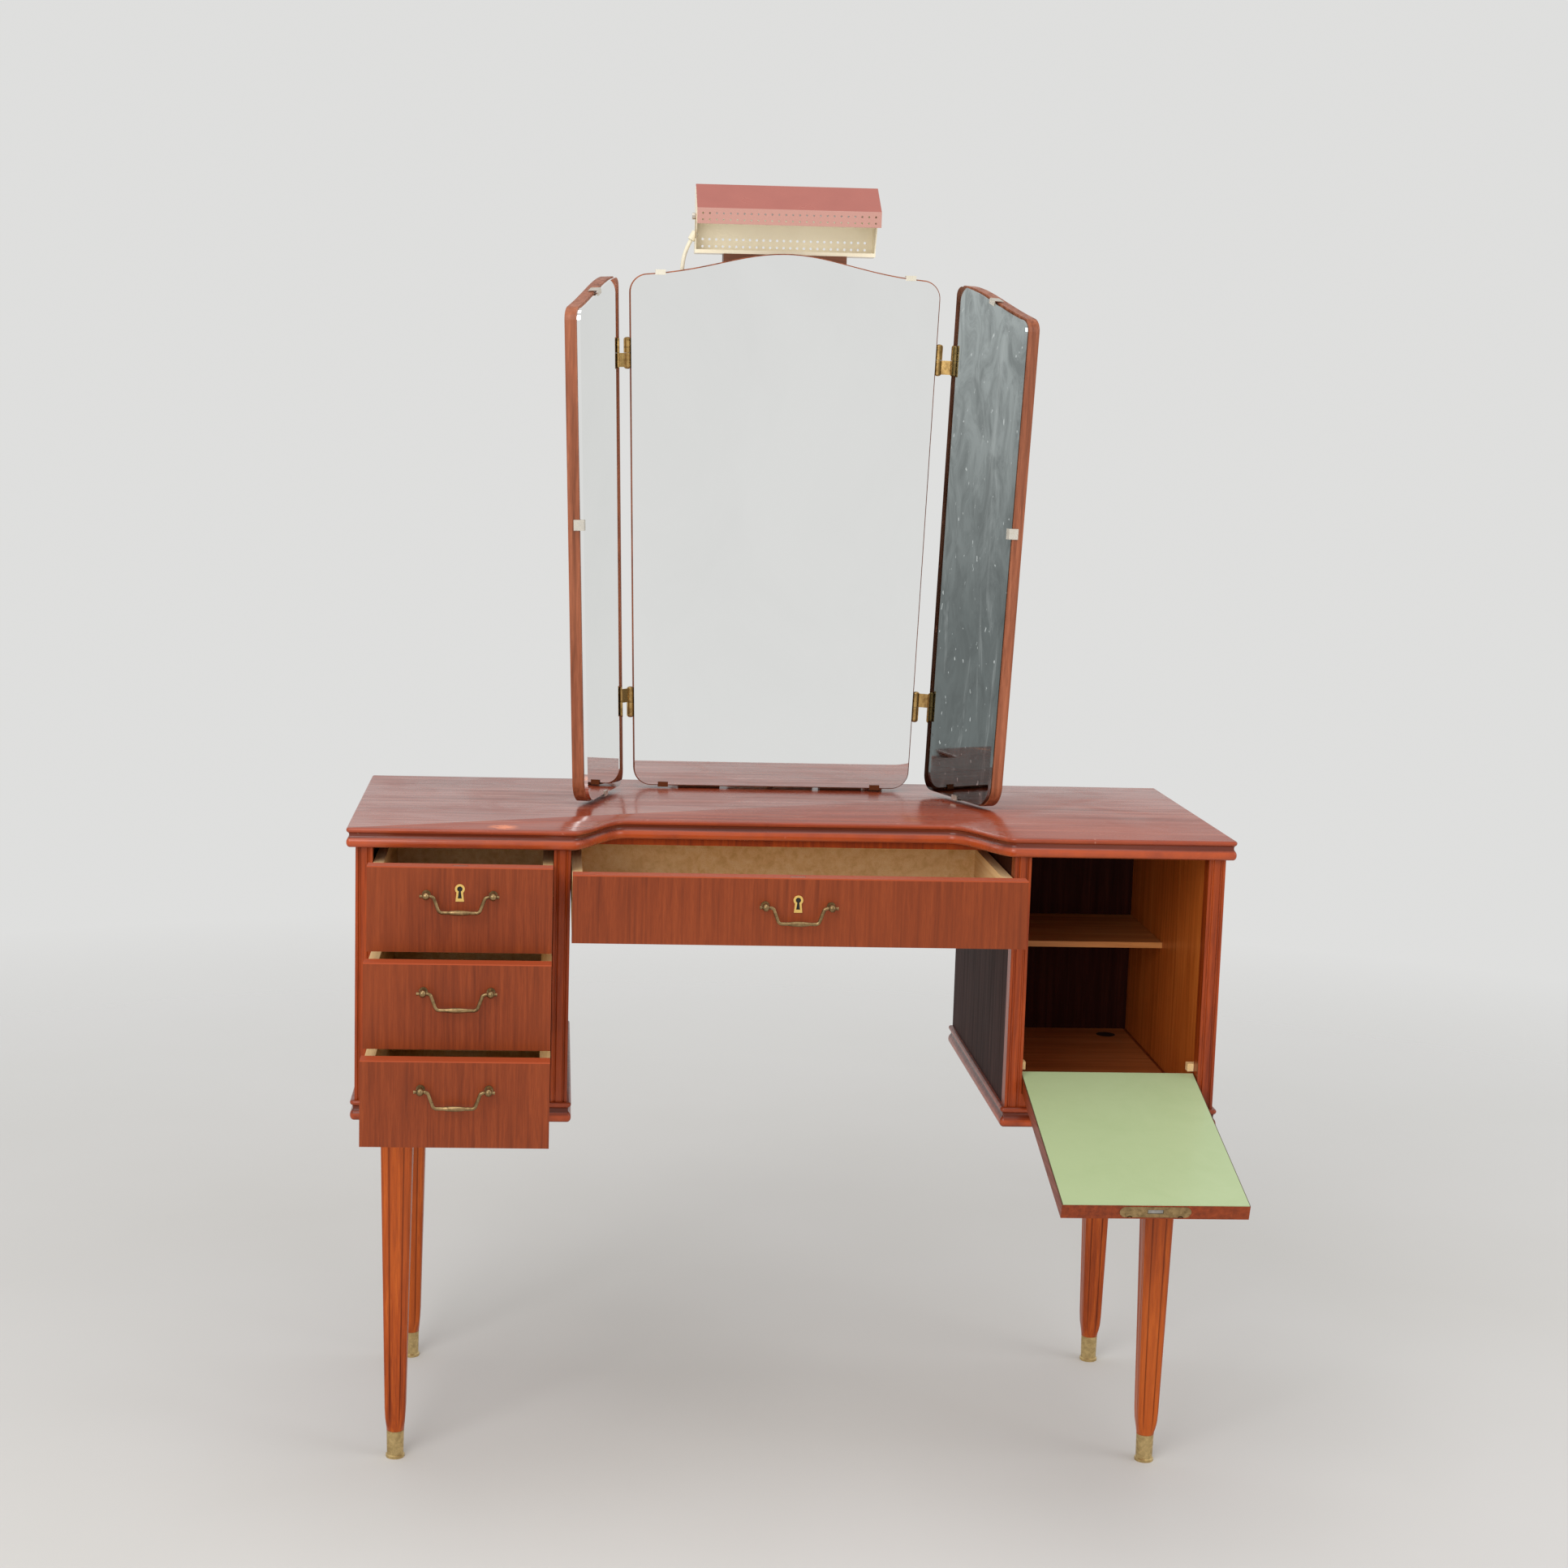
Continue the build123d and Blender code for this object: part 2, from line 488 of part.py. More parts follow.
wood_sheet = flap_sketch(FLAP_WIDTH, -FLAP_TAIL, flap_end, -half_flap)
laminate_sheet = flap_sketch(FLAP_WIDTH - 0.6, -FLAP_TAIL + 0.3, flap_end - 0.3, wood_face)
with BuildPart() as flap_panel:
    extrude(wood_sheet, amount=FLAP_THICKNESS - LAMINATE)
    # recess for the lock plate and pocket for the bolt in the outer end
    with BuildSketch(Plane(origin=flap_plane.from_local_coords((0, flap_end, -0.6)),
                           x_dir=(-1, 0, 0), z_dir=flap_plane.y_dir)):
        SlotOverall(76.4, 13.4)
    extrude(amount=-1.6, mode=Mode.SUBTRACT)
    with BuildSketch(Plane(origin=flap_plane.from_local_coords((0, flap_end, 0)),
                           x_dir=(-1, 0, 0), z_dir=flap_plane.y_dir)):
        Rectangle(BOLT_WIDTH + 0.8, BOLT_THICKNESS + 0.8)
    extrude(amount=-26, mode=Mode.SUBTRACT)
    with Locations(Location((pedestal_x, flap_centre_y, FLAP_PIVOT_HEIGHT), (0, 90, 0))):
        Cylinder(FLAP_PIN_RADIUS + PIN_CLEARANCE, FLAP_WIDTH + 2, mode=Mode.SUBTRACT)
save(flap_panel, "flap_panel")

with BuildPart() as flap_laminate:
    extrude(laminate_sheet, amount=LAMINATE)
save(flap_laminate, "flap_laminate")

with BuildPart() as flap_lock_plate:
    with BuildSketch(Plane(origin=flap_plane.from_local_coords((0, flap_end, -0.6)),
                           x_dir=(-1, 0, 0), z_dir=flap_plane.y_dir)):
        SlotOverall(76, 13)
        with Locations((0, -0.6)):
            Rectangle(BOLT_WIDTH + 0.8, BOLT_THICKNESS + 0.8, mode=Mode.SUBTRACT)
    extrude(amount=-1.6)
    # keyhole plate on the outer face
    with BuildSketch(flap_plane.offset(-half_flap)):
        with Locations((0, flap_end - 24)):
            Circle(5.3)
        with Locations((0, flap_end - 31)):
            Rectangle(8.2, 13)
        with Locations((0, flap_end - 24)):
            Circle(2.9, mode=Mode.SUBTRACT)
        with Locations((0, flap_end - 29)):
            Rectangle(3.6, 9, mode=Mode.SUBTRACT)
    extrude(amount=-1.2)
save(flap_lock_plate, "flap_lock_plate")

with BuildPart() as flap_bolt:
    with BuildSketch(Plane(origin=flap_plane.from_local_coords((0, flap_end - 0.3, 0)),
                           x_dir=(-1, 0, 0), z_dir=flap_plane.y_dir)):
        Rectangle(BOLT_WIDTH, BOLT_THICKNESS)
    extrude(amount=-14)
save(flap_bolt, "flap_bolt")

# ---------------------------------------------------------------- centre mirror
glass_y = front + MIRROR_FRONT_Y
wood_y = glass_y + GLASS
axis_y = glass_y + AXIS_BEHIND


def half_width(z: float) -> float:
    """Half the centre mirror's width at a height, before the corners are rounded."""
    return MIRROR_HALF_WIDTH + (z - MIRROR_BOTTOM) * MIRROR_TAPER


def mirror_outline(inset: float) -> None:
    """Tapered sides, straight bottom and a crest that rises in a double curve."""
    low, shoulder, crest = MIRROR_BOTTOM + inset, MIRROR_SHOULDER - inset, MIRROR_CREST - inset
    foot, head = half_width(low) - inset, half_width(shoulder) - inset
    with BuildLine() as outline:
        Line((-foot, low), (foot, low))
        Line((foot, low), (head, shoulder))
        Bezier((head, shoulder), (100, shoulder + 3), (60, crest), (0, crest))
        Bezier((0, crest), (-60, crest), (-100, shoulder + 3), (-head, shoulder))
        Line((-head, shoulder), (-foot, low))
    make_face(outline.edges())


def round_corners(piece: BuildPart, points, radius: float) -> None:
    """Round the edges across the board whose middles are nearest to the given points."""
    chosen = [piece.edges().sort_by_distance(Vector(*p))[0] for p in points]
    fillet(chosen, radius=radius)


def mirror_board(y: float, thickness: float, inset: float) -> BuildPart:
    """A board or glass with the centre mirror's outline, its front at y."""
    with BuildPart() as piece:
        with BuildSketch(Plane.XZ.offset(-y)):
            mirror_outline(inset)
        extrude(amount=-thickness)
        middle = y + thickness / 2
        for z in (MIRROR_BOTTOM + inset, MIRROR_SHOULDER - inset):
            x = half_width(z) - inset
            round_corners(piece, [(-x, middle, z), (x, middle, z)], CORNER_RADIUS - inset)
    return piece


notch = BARREL_RADIUS - AXIS_OUTSIDE + 1.2
centre_board = mirror_board(wood_y, WOOD, 0.0)
with BuildPart() as centre_mirror_back:
    add(centre_board.part)
    for height in HINGE_HEIGHTS.values():
        for side in SIDES.values():
            x = side * half_width(height)
            block((x - notch, x + notch), (wood_y - 1, axis_y + BARREL_RADIUS + 0.4),
                  (height - HINGE_LENGTH / 2 - 1, height + HINGE_LENGTH / 2 + 1), mode=Mode.SUBTRACT)
save(centre_mirror_back, "centre_mirror_back")

centre_glass = mirror_board(glass_y, GLASS - 0.05, GLASS_INSET)
save(centre_glass, "centre_glass")

CLIP_WIDTH = 12.5
with BuildPart() as centre_clips:
    for x, z, sense in ((-135, MIRROR_BOTTOM, 1), (129, MIRROR_BOTTOM, 1),
                        (-152, MIRROR_SHOULDER + 4.8, -1), (152, MIRROR_SHOULDER + 4.8, -1)):
        lip = 5.0
        low, high = sorted((z - sense * 1.2, z + sense * lip))
        block((x - CLIP_WIDTH / 2, x + CLIP_WIDTH / 2), (glass_y - 1.2, glass_y - 0.1), (low, high))
        low, high = sorted((z - sense * 1.2, z - sense * 0.1))
        block((x - CLIP_WIDTH / 2, x + CLIP_WIDTH / 2), (glass_y - 1.2, wood_y + 8), (low, high))
save(centre_clips, "centre_clips")


# ---------------------------------------------------------------- mirror hinges and wings
def axis_direction(side: int) -> Vector:
    """Direction of a hinge axis, slanted like the mirror's edge on that side."""
    return Vector(side * MIRROR_TAPER, 0, 1).normalized()


def turned_plane(side: int, origin: Vector, angle: float) -> Plane:
    """Plane with local z along the hinge axis and local x outwards, turned forwards by angle."""
    axis = axis_direction(side)
    outwards = Vector(0, side, 0).cross(axis)
    turn = radians(angle)
    x_dir = outwards * cos(turn) + Vector(0, -1, 0) * sin(turn)
    return Plane(origin=origin, x_dir=x_dir, z_dir=axis)


def centre_axis_point(side: int, z: float) -> Vector:
    """Point of the hinge axis that belongs to the centre mirror, at a height."""
    return Vector(side * (half_width(z) + AXIS_OUTSIDE), axis_y, z)


def knuckle_span(key: str, of_link: bool) -> tuple:
    """Lower and upper end of a knuckle from the hinge's middle, along its axis."""
    link_is_low = key == "upper"
    if of_link == link_is_low:
        return -HINGE_LENGTH / 2, -0.2
    return 0.2, HINGE_LENGTH / 2


def add_knuckle(plane: Plane, key: str, leaf_sign: int) -> None:
    """Add one panel knuckle and the leaf that joins it to the board's edge behind it."""
    low, high = knuckle_span(key, of_link=False)
    with BuildSketch(plane.offset(low)) as section:
        Circle(BARREL_RADIUS)
        with Locations((AXIS_OUTSIDE - 1.0, -leaf_sign * 8.0)):
            Rectangle(1.6, 16.0)
        Circle(PIN_RADIUS + PIN_CLEARANCE, mode=Mode.SUBTRACT)
    extrude(section.sketch, amount=high - low)


wing_axes = {}
for name, side in SIDES.items():
    link_planes, wing_planes = {}, {}
    for key, height in HINGE_HEIGHTS.items():
        link_planes[key] = turned_plane(side, centre_axis_point(side, height), LINK_ANGLES[name])
        origin = link_planes[key].origin + link_planes[key].x_dir * LINK_SPACING
        wing_planes[key] = turned_plane(side, origin, WING_ANGLES[name])
    foot = centre_axis_point(side, WING_BOTTOM)
    foot_plane = turned_plane(side, foot, LINK_ANGLES[name])
    wing_foot = turned_plane(side, foot + foot_plane.x_dir * LINK_SPACING, WING_ANGLES[name])
    wing_axes[name] = (foot, wing_foot.origin, wing_foot)

    with BuildPart() as links:
        for key, plane in link_planes.items():
            low, high = knuckle_span(key, of_link=True)
            with BuildSketch(plane.offset(low)):
                with Locations((0, 0), (LINK_SPACING, 0)):
                    Circle(BARREL_RADIUS)
                with Locations((LINK_SPACING / 2, 0)):
                    Rectangle(LINK_SPACING, 3.0)
            extrude(amount=high - low)
            with BuildSketch(plane.offset(-HINGE_LENGTH / 2)):
                with Locations((0, 0), (LINK_SPACING, 0)):
                    Circle(PIN_RADIUS)
            extrude(amount=HINGE_LENGTH)
    save(links, f"{name}_hinge_links")

    with BuildPart() as wing_leaves:
        # local y of a wing plane points behind the panel on the left side, in front on the right
        for key, plane in wing_planes.items():
            add_knuckle(plane, key, -side)
    save(wing_leaves, f"{name}_wing_hinge_leaves")

with BuildPart() as centre_hinge_leaves:
    for name, side in SIDES.items():
        for key, height in HINGE_HEIGHTS.items():
            # the centre panel lies on the inner side of its axis, so its plane is turned half round
            outward = turned_plane(side, centre_axis_point(side, height), 0.0)
            inward = Plane(origin=outward.origin, x_dir=-outward.x_dir, z_dir=outward.z_dir)
            add_knuckle(inward, key, side)
save(centre_hinge_leaves, "centre_hinge_leaves")


def wing_outline(inset: float) -> None:
    """Wing seen from the glass side: x away from the hinge edge, y up along it."""
    top, low = WING_HEIGHT - inset, inset
    outer_top, outer_low = WING_WIDTH_TOP - inset, WING_WIDTH_BOTTOM - inset
    drop = WING_HEIGHT - 44 - inset
    with BuildLine() as outline:
        Line((inset, low), (outer_low, low))
        Line((outer_low, low), (outer_top, drop))
        Bezier((outer_top, drop), (92, top - 26), (48, top - 1), (inset, top))
        Line((inset, top), (inset, low))
    make_face(outline.edges())


def wing_board(name: str, side: int, front_offset: float, thickness: float, inset: float) -> BuildPart:
    """A board or glass with the wing's outline; front_offset is its depth behind the glass face."""
    foot_plane = wing_axes[name][2]
    toward_glass = foot_plane.z_dir.cross(foot_plane.x_dir) * leaf_side(side)
    origin = foot_plane.origin + foot_plane.x_dir * AXIS_OUTSIDE + toward_glass * (AXIS_BEHIND - front_offset)
    # a sketch plane whose local x runs outwards and local y runs up the hinge edge
    normal = foot_plane.x_dir.cross(foot_plane.z_dir)
    plane = Plane(origin=origin, x_dir=foot_plane.x_dir, z_dir=normal)
    depth = -thickness if normal.dot(toward_glass) > 0 else thickness
    with BuildPart() as piece:
        with BuildSketch(plane):
            wing_outline(inset)
        extrude(amount=depth)
        middle = depth / 2
        corners = (((inset, inset), 20 - inset), ((WING_WIDTH_BOTTOM - inset, inset), 26 - inset),
                   ((WING_WIDTH_TOP - inset, WING_HEIGHT - 44 - inset), 16 - inset),
                   ((inset, WING_HEIGHT - inset), 12 - inset))
        for (x, y), radius in corners:
            point = plane.from_local_coords((x, y, middle))
            round_corners(piece, [tuple(point)], radius)
    return piece


def leaf_side(side: int) -> int:
    """Sign that turns a wing plane's local y towards its glass face."""
    return -side


for name, side in SIDES.items():
    foot_plane = wing_axes[name][2]
    axis = foot_plane.z_dir
    board = wing_board(name, side, GLASS, WOOD, 0.0)
    with BuildPart() as wing_back:
        add(board.part)
        for height in HINGE_HEIGHTS.values():
            along = (height - WING_BOTTOM) / axis.Z
            plane = Plane(origin=foot_plane.origin + axis * (along - HINGE_LENGTH / 2 - 1),
                          x_dir=foot_plane.x_dir, z_dir=axis)
            with BuildSketch(plane):
                Rectangle(2 * (BARREL_RADIUS + 0.4), 2 * (BARREL_RADIUS + 0.4))
            extrude(amount=HINGE_LENGTH + 2, mode=Mode.SUBTRACT)
    save(wing_back, f"{name}_wing_back")

    wing_glass = wing_board(name, side, 0.0, GLASS - 0.05, GLASS_INSET)
    save(wing_glass, f"{name}_wing_glass")

    # clips at the top edge, on the outer edge and at the bottom edge, in the panel's own plane
    toward_glass = foot_plane.z_dir.cross(foot_plane.x_dir) * leaf_side(side)
    face = foot_plane.origin + foot_plane.x_dir * AXIS_OUTSIDE + toward_glass * AXIS_BEHIND
    with BuildPart() as wing_clips:
        mid_x = WING_WIDTH_BOTTOM + (WING_WIDTH_TOP - WING_WIDTH_BOTTOM) * 0.57
        # place along the panel and the direction of the edge's normal there
        for x, y, lean in ((80.0, 0.0, -90.0), (mid_x, 0.53 * WING_HEIGHT, 0.0), (88.0, 597.8, 71.5)):
            turn = radians(lean)
            out = foot_plane.x_dir * cos(turn) + axis * sin(turn)
            across = foot_plane.x_dir * -sin(turn) + axis * cos(turn)
            edge = face + foot_plane.x_dir * x + axis * y
            lip = Plane(origin=edge + toward_glass * 0.1 - out * 1.8, x_dir=across, z_dir=toward_glass)
            with BuildSketch(lip):
                Rectangle(CLIP_WIDTH, 6.4)
            extrude(amount=1.1)
            wrap = Plane(origin=edge + out * 0.85 - toward_glass * 5.0, x_dir=across, z_dir=out)
            with BuildSketch(wrap):
                Rectangle(CLIP_WIDTH, 12.4)
            extrude(amount=0.55)
    save(wing_clips, f"{name}_wing_clips")

# ---------------------------------------------------------------- mirror support
upright_y = wood_y + WOOD
UPRIGHT_X = 100.0
with BuildPart() as mirror_uprights:
    for side in SIDES.values():
        x = side * UPRIGHT_X
        block((x - 15, x + 15), (upright_y, upright_y + 22), (TABLE_HEIGHT, 1330))
        foot_x = sorted((side * (UPRIGHT_X - 15), side * (UPRIGHT_X - 37)))
        block(foot_x, (upright_y, upright_y + 22), (TABLE_HEIGHT, TABLE_HEIGHT + 24))
save(mirror_uprights, "mirror_uprights")

with BuildPart() as lamp_block:
    block((-75, 75), (upright_y, front + LAMP_BACK_Y), (1337, LAMP_BOTTOM))
save(lamp_block, "lamp_block")

# ---------------------------------------------------------------- strip lamp
lamp_back = front + LAMP_BACK_Y
pivot_y, pivot_z = front + SHADE_PIVOT[0], SHADE_PIVOT[1]
PERFORATION_PITCH = 8.3
gland_axis = Vector(-0.5, 0, -0.866)
gland_mouth = Vector(-LAMP_HALF_WIDTH - 4.5, front + 363, 1427)
with BuildPart() as lamp_reflector:
    block((-LAMP_HALF_WIDTH, LAMP_HALF_WIDTH), (lamp_back - SHEET, lamp_back), (LAMP_BOTTOM, 1491))
    block((-LAMP_HALF_WIDTH, LAMP_HALF_WIDTH), (lamp_back - 26, lamp_back), (LAMP_BOTTOM, LAMP_BOTTOM + SHEET))
    block((-LAMP_HALF_WIDTH, LAMP_HALF_WIDTH), (lamp_back - 26, lamp_back - 26 + SHEET),
          (LAMP_BOTTOM, LAMP_BOTTOM + 4.5))
    for side in SIDES.values():
        x = side * LAMP_HALF_WIDTH if side < 0 else LAMP_HALF_WIDTH - SHEET
        with BuildSketch(Plane.YZ.offset(x)):
            with BuildLine():
                Polyline((lamp_back, LAMP_BOTTOM), (lamp_back, 1491), (lamp_back - 12, 1491),
                         (pivot_y - 9, pivot_z + 7), (pivot_y - 9, pivot_z - 7),
                         (lamp_back - 26, LAMP_BOTTOM + 10), (lamp_back - 26, LAMP_BOTTOM), close=True)
            make_face()
        extrude(amount=SHEET)
    with BuildSketch(Plane.XZ.offset(-lamp_back)):
        with Locations((0, LAMP_BOTTOM + 14)):
            with GridLocations(PERFORATION_PITCH, 8.5, 25, 2):
                Circle(1.5)
    extrude(amount=5, both=True, mode=Mode.SUBTRACT)
    with Locations(Location((0, pivot_y, pivot_z), (0, 90, 0))):
        Cylinder(PIN_RADIUS + PIN_CLEARANCE, 3 * LAMP_HALF_WIDTH, mode=Mode.SUBTRACT)
    with BuildSketch(Plane(origin=gland_mouth, x_dir=(0, 1, 0), z_dir=gland_axis)):
        Circle(4.5)
    extrude(amount=-14, mode=Mode.SUBTRACT)
save(lamp_reflector, "lamp_reflector")

shade_end = LAMP_HALF_WIDTH - SHEET - 0.4
back_y, back_z = front + SHADE_BACK[0], SHADE_BACK[1]
front_y, front_z = front + SHADE_FRONT[0], SHADE_FRONT[1]
slope = Vector(0, back_y - front_y, back_z - front_z).normalized()
inward = Vector(0, slope.Z, -slope.Y) * SHEET
with BuildPart() as lamp_shade:
    with BuildSketch(Plane.YZ.offset(-LAMP_HALF_WIDTH - 0.6)):
        with BuildLine():
            Polyline((back_y, back_z), (front_y, front_z), (front_y, front_z - SHADE_LIP),
                     (front_y + SHEET, front_z - SHADE_LIP), (front_y + SHEET, front_z - 0.6),
                     (back_y + inward.Y, back_z + inward.Z), close=True)
        make_face()
    extrude(amount=2 * LAMP_HALF_WIDTH + 1.2)
    for x in (-shade_end, shade_end - SHEET):
        with BuildSketch(Plane.YZ.offset(x)):
            with BuildLine():
                Polyline((front_y + 0.5, front_z - 0.5), (back_y, back_z - 0.8),
                         (pivot_y + 8, pivot_z - 2), (pivot_y + 4, pivot_z - 7),
                         (pivot_y - 4, pivot_z - 7), close=True)
            make_face()
        extrude(amount=SHEET)
    with BuildSketch(Plane.XZ.offset(-front_y)):
        with Locations((0, front_z - 9.5)):
            with GridLocations(PERFORATION_PITCH, 7.5, 26, 2):
                Circle(1.2)
    extrude(amount=-4, mode=Mode.SUBTRACT)
    with Locations(Location((0, pivot_y, pivot_z), (0, 90, 0))):
        Cylinder(PIN_RADIUS + PIN_CLEARANCE, 3 * LAMP_HALF_WIDTH, mode=Mode.SUBTRACT)
save(lamp_shade, "lamp_shade")

with BuildPart() as lamp_pivot_screws:
    for side in SIDES.values():
        with Locations(Location((side * (LAMP_HALF_WIDTH - 1), pivot_y, pivot_z), (0, 90, 0))):
            Cylinder(PIN_RADIUS, 8)
        with Locations(Location((side * (LAMP_HALF_WIDTH + 2.6), pivot_y, pivot_z), (0, 90, 0))):
            Cylinder(4.0, 4.0)
save(lamp_pivot_screws, "lamp_pivot_screws")

TUBE_Y, TUBE_Z, TUBE_HALF = 350.0, 1462.0, 86.0
with BuildPart() as lamp_tube:
    with Locations(Location((0, front + TUBE_Y, TUBE_Z), (0, 90, 0))):
        Cylinder(11, 2 * TUBE_HALF)
save(lamp_tube, "lamp_tube")

with BuildPart() as lamp_holders:
    for side in SIDES.values():
        x_range = sorted((side * (TUBE_HALF + 0.1), side * (TUBE_HALF + 13)))
        block(x_range, (front + TUBE_Y - 10, lamp_back - SHEET), (TUBE_Z - 10, TUBE_Z + 10))
save(lamp_holders, "lamp_holders")

# ---------------------------------------------------------------- mains cord
with BuildPart() as cord_gland:
    with BuildSketch(Plane(origin=gland_mouth, x_dir=(0, 1, 0), z_dir=gland_axis)):
        Circle(4.5)
    extrude(amount=-11)
save(cord_gland, "cord_gland")

HANK_SIZE = (116.0, 44.0, 21.0)
HANK_CENTRE = (2.0, front + 375.5, TABLE_HEIGHT + 0.2 + HANK_SIZE[2] / 2)
route_start = gland_mouth + gland_axis * 0.4
cord_points = [
    tuple(route_start),
    (-122, front + 362, 1413), (-125, front + 361, 1391), (-126, front + 360, 1352),
    (-129, front + 362, 1302), (-128, front + 364, 1246), (-132, front + 363, 1188),
    (-131, front + 365, 1128), (-135, front + 366, 1070), (-134, front + 364, 1012),
    (-137, front + 365, 956), (-134, front + 368, 900), (-136, front + 371, 850),
    (-134, front + 376, 812), (-129, front + 382, 786), (-114, front + 386, 768),
    (-92, front + 386, 764), (-74, front + 383, 767), (-57, front + 378, 766),
]
corner_radii = []
for before, here, after in zip(cord_points, cord_points[1:], cord_points[2:]):
    run_in = Vector(*here) - Vector(*before)
    run_out = Vector(*after) - Vector(*here)
    half_turn = radians(run_in.get_angle(run_out)) / 2
    corner_radii.append(0.45 * min(run_in.length, run_out.length) / tan(half_turn))
plug_points = [(61, front + 376, 767), (77, front + 378, 768), (94, front + 384, 770), (112.7, front + 384, 769.2)]
print("cord corner radii:", [round(r) for r in corner_radii])
with BuildPart() as lamp_cord:
    with BuildLine() as cord_path:
        FilletPolyline(*cord_points, radius=corner_radii)
    with BuildSketch(Plane(origin=cord_path.line @ 0, z_dir=cord_path.line % 0)):
        Circle(CORD_RADIUS)
    sweep()
    with BuildLine() as plug_path:
        FilletPolyline(*plug_points, radius=18)
    with BuildSketch(Plane(origin=plug_path.line @ 0, z_dir=plug_path.line % 0)):
        Circle(CORD_RADIUS)
    sweep()
cord_length = cord_path.wire().length
cord_length += plug_path.wire().length
plain_volume = 3.14159 * CORD_RADIUS ** 2 * cord_length
print("cord tube length", round(cord_length), "volume ratio", round(lamp_cord.part.volume / plain_volume, 4))
save(lamp_cord, "lamp_cord")

with BuildPart() as cord_hank:
    with BuildSketch(Plane.XY.offset(HANK_CENTRE[2] - HANK_SIZE[2] / 2)):
        with Locations(HANK_CENTRE[:2]):
            SlotOverall(HANK_SIZE[0], HANK_SIZE[1])
    extrude(amount=HANK_SIZE[2])
save(cord_hank, "cord_hank")

PLUG_X = 118.0
with BuildPart() as mains_plug:
    plug_y, plug_z = front + 384.0, TABLE_HEIGHT + 13.2
    with Locations(Location((PLUG_X + 16, plug_y, plug_z), (0, 90, 0))):
        Cylinder(13, 22)
    with Locations(Location((PLUG_X, plug_y, plug_z), (0, 90, 0))):
        Cone(bottom_radius=5, top_radius=10, height=10)
    with Locations(Location((PLUG_X + 36, plug_y - 9.5, plug_z), (0, 90, 0)),
                   Location((PLUG_X + 36, plug_y + 9.5, plug_z), (0, 90, 0))):
        Cylinder(2.0, 19)
save(mains_plug, "mains_plug")
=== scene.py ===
"""A vanity table with drawers, a drop flap, a folding three-part mirror and a strip lamp."""
import logging
from dataclasses import dataclass, field, replace
from enum import Enum
from math import cos, pi, radians, sin
from typing import Callable, Optional, Sequence

import bmesh
import bpy
from mathutils import Matrix, Vector


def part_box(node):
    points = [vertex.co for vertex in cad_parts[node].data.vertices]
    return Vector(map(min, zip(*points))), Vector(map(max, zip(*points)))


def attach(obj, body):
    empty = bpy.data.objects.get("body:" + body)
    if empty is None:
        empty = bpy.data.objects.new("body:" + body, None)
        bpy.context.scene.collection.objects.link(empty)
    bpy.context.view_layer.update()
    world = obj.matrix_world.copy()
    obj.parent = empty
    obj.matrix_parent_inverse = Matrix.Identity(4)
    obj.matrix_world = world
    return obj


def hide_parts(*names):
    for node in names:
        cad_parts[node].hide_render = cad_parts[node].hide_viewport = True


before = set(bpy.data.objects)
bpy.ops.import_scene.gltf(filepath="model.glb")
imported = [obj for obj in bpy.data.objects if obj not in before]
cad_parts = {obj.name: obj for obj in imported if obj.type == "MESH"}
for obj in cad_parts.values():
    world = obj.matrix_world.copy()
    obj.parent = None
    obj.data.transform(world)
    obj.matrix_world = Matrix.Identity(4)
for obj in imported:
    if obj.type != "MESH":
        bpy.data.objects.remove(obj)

log = logging.getLogger("vanity")
Pair = tuple[float, float]
Point = tuple[float, float, float]
Colour = tuple[float, float, float, float]
Socket = bpy.types.NodeSocket
Item = bpy.types.Object
BMesh = bmesh.types.BMesh
MM = 0.001
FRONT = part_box("table_top")[0].y          # front edge of the table's top
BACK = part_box("table_top")[1].y
TOP_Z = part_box("table_top")[1].z
UNDER_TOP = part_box("table_top")[0].z


def paint(red: int, green: int, blue: int) -> Colour:
    """Turn a colour given 0 to 255 into shader values."""
    def channel(value: int) -> float:
        part = value / 255
        return part / 12.92 if part <= 0.04045 else ((part + 0.055) / 1.055) ** 2.4
    return channel(red), channel(green), channel(blue), 1.0


def at(x: float, y: float, z: float) -> Vector:
    """A point from millimetres: x from the middle, y behind the top's front edge, z from the floor."""
    return Vector((x * MM, FRONT + y * MM, z * MM))


class Grain(Enum):
    """Direction in which a board's grain runs."""
    ALONG_X = 0
    ALONG_Y = 1
    UPRIGHT = 2


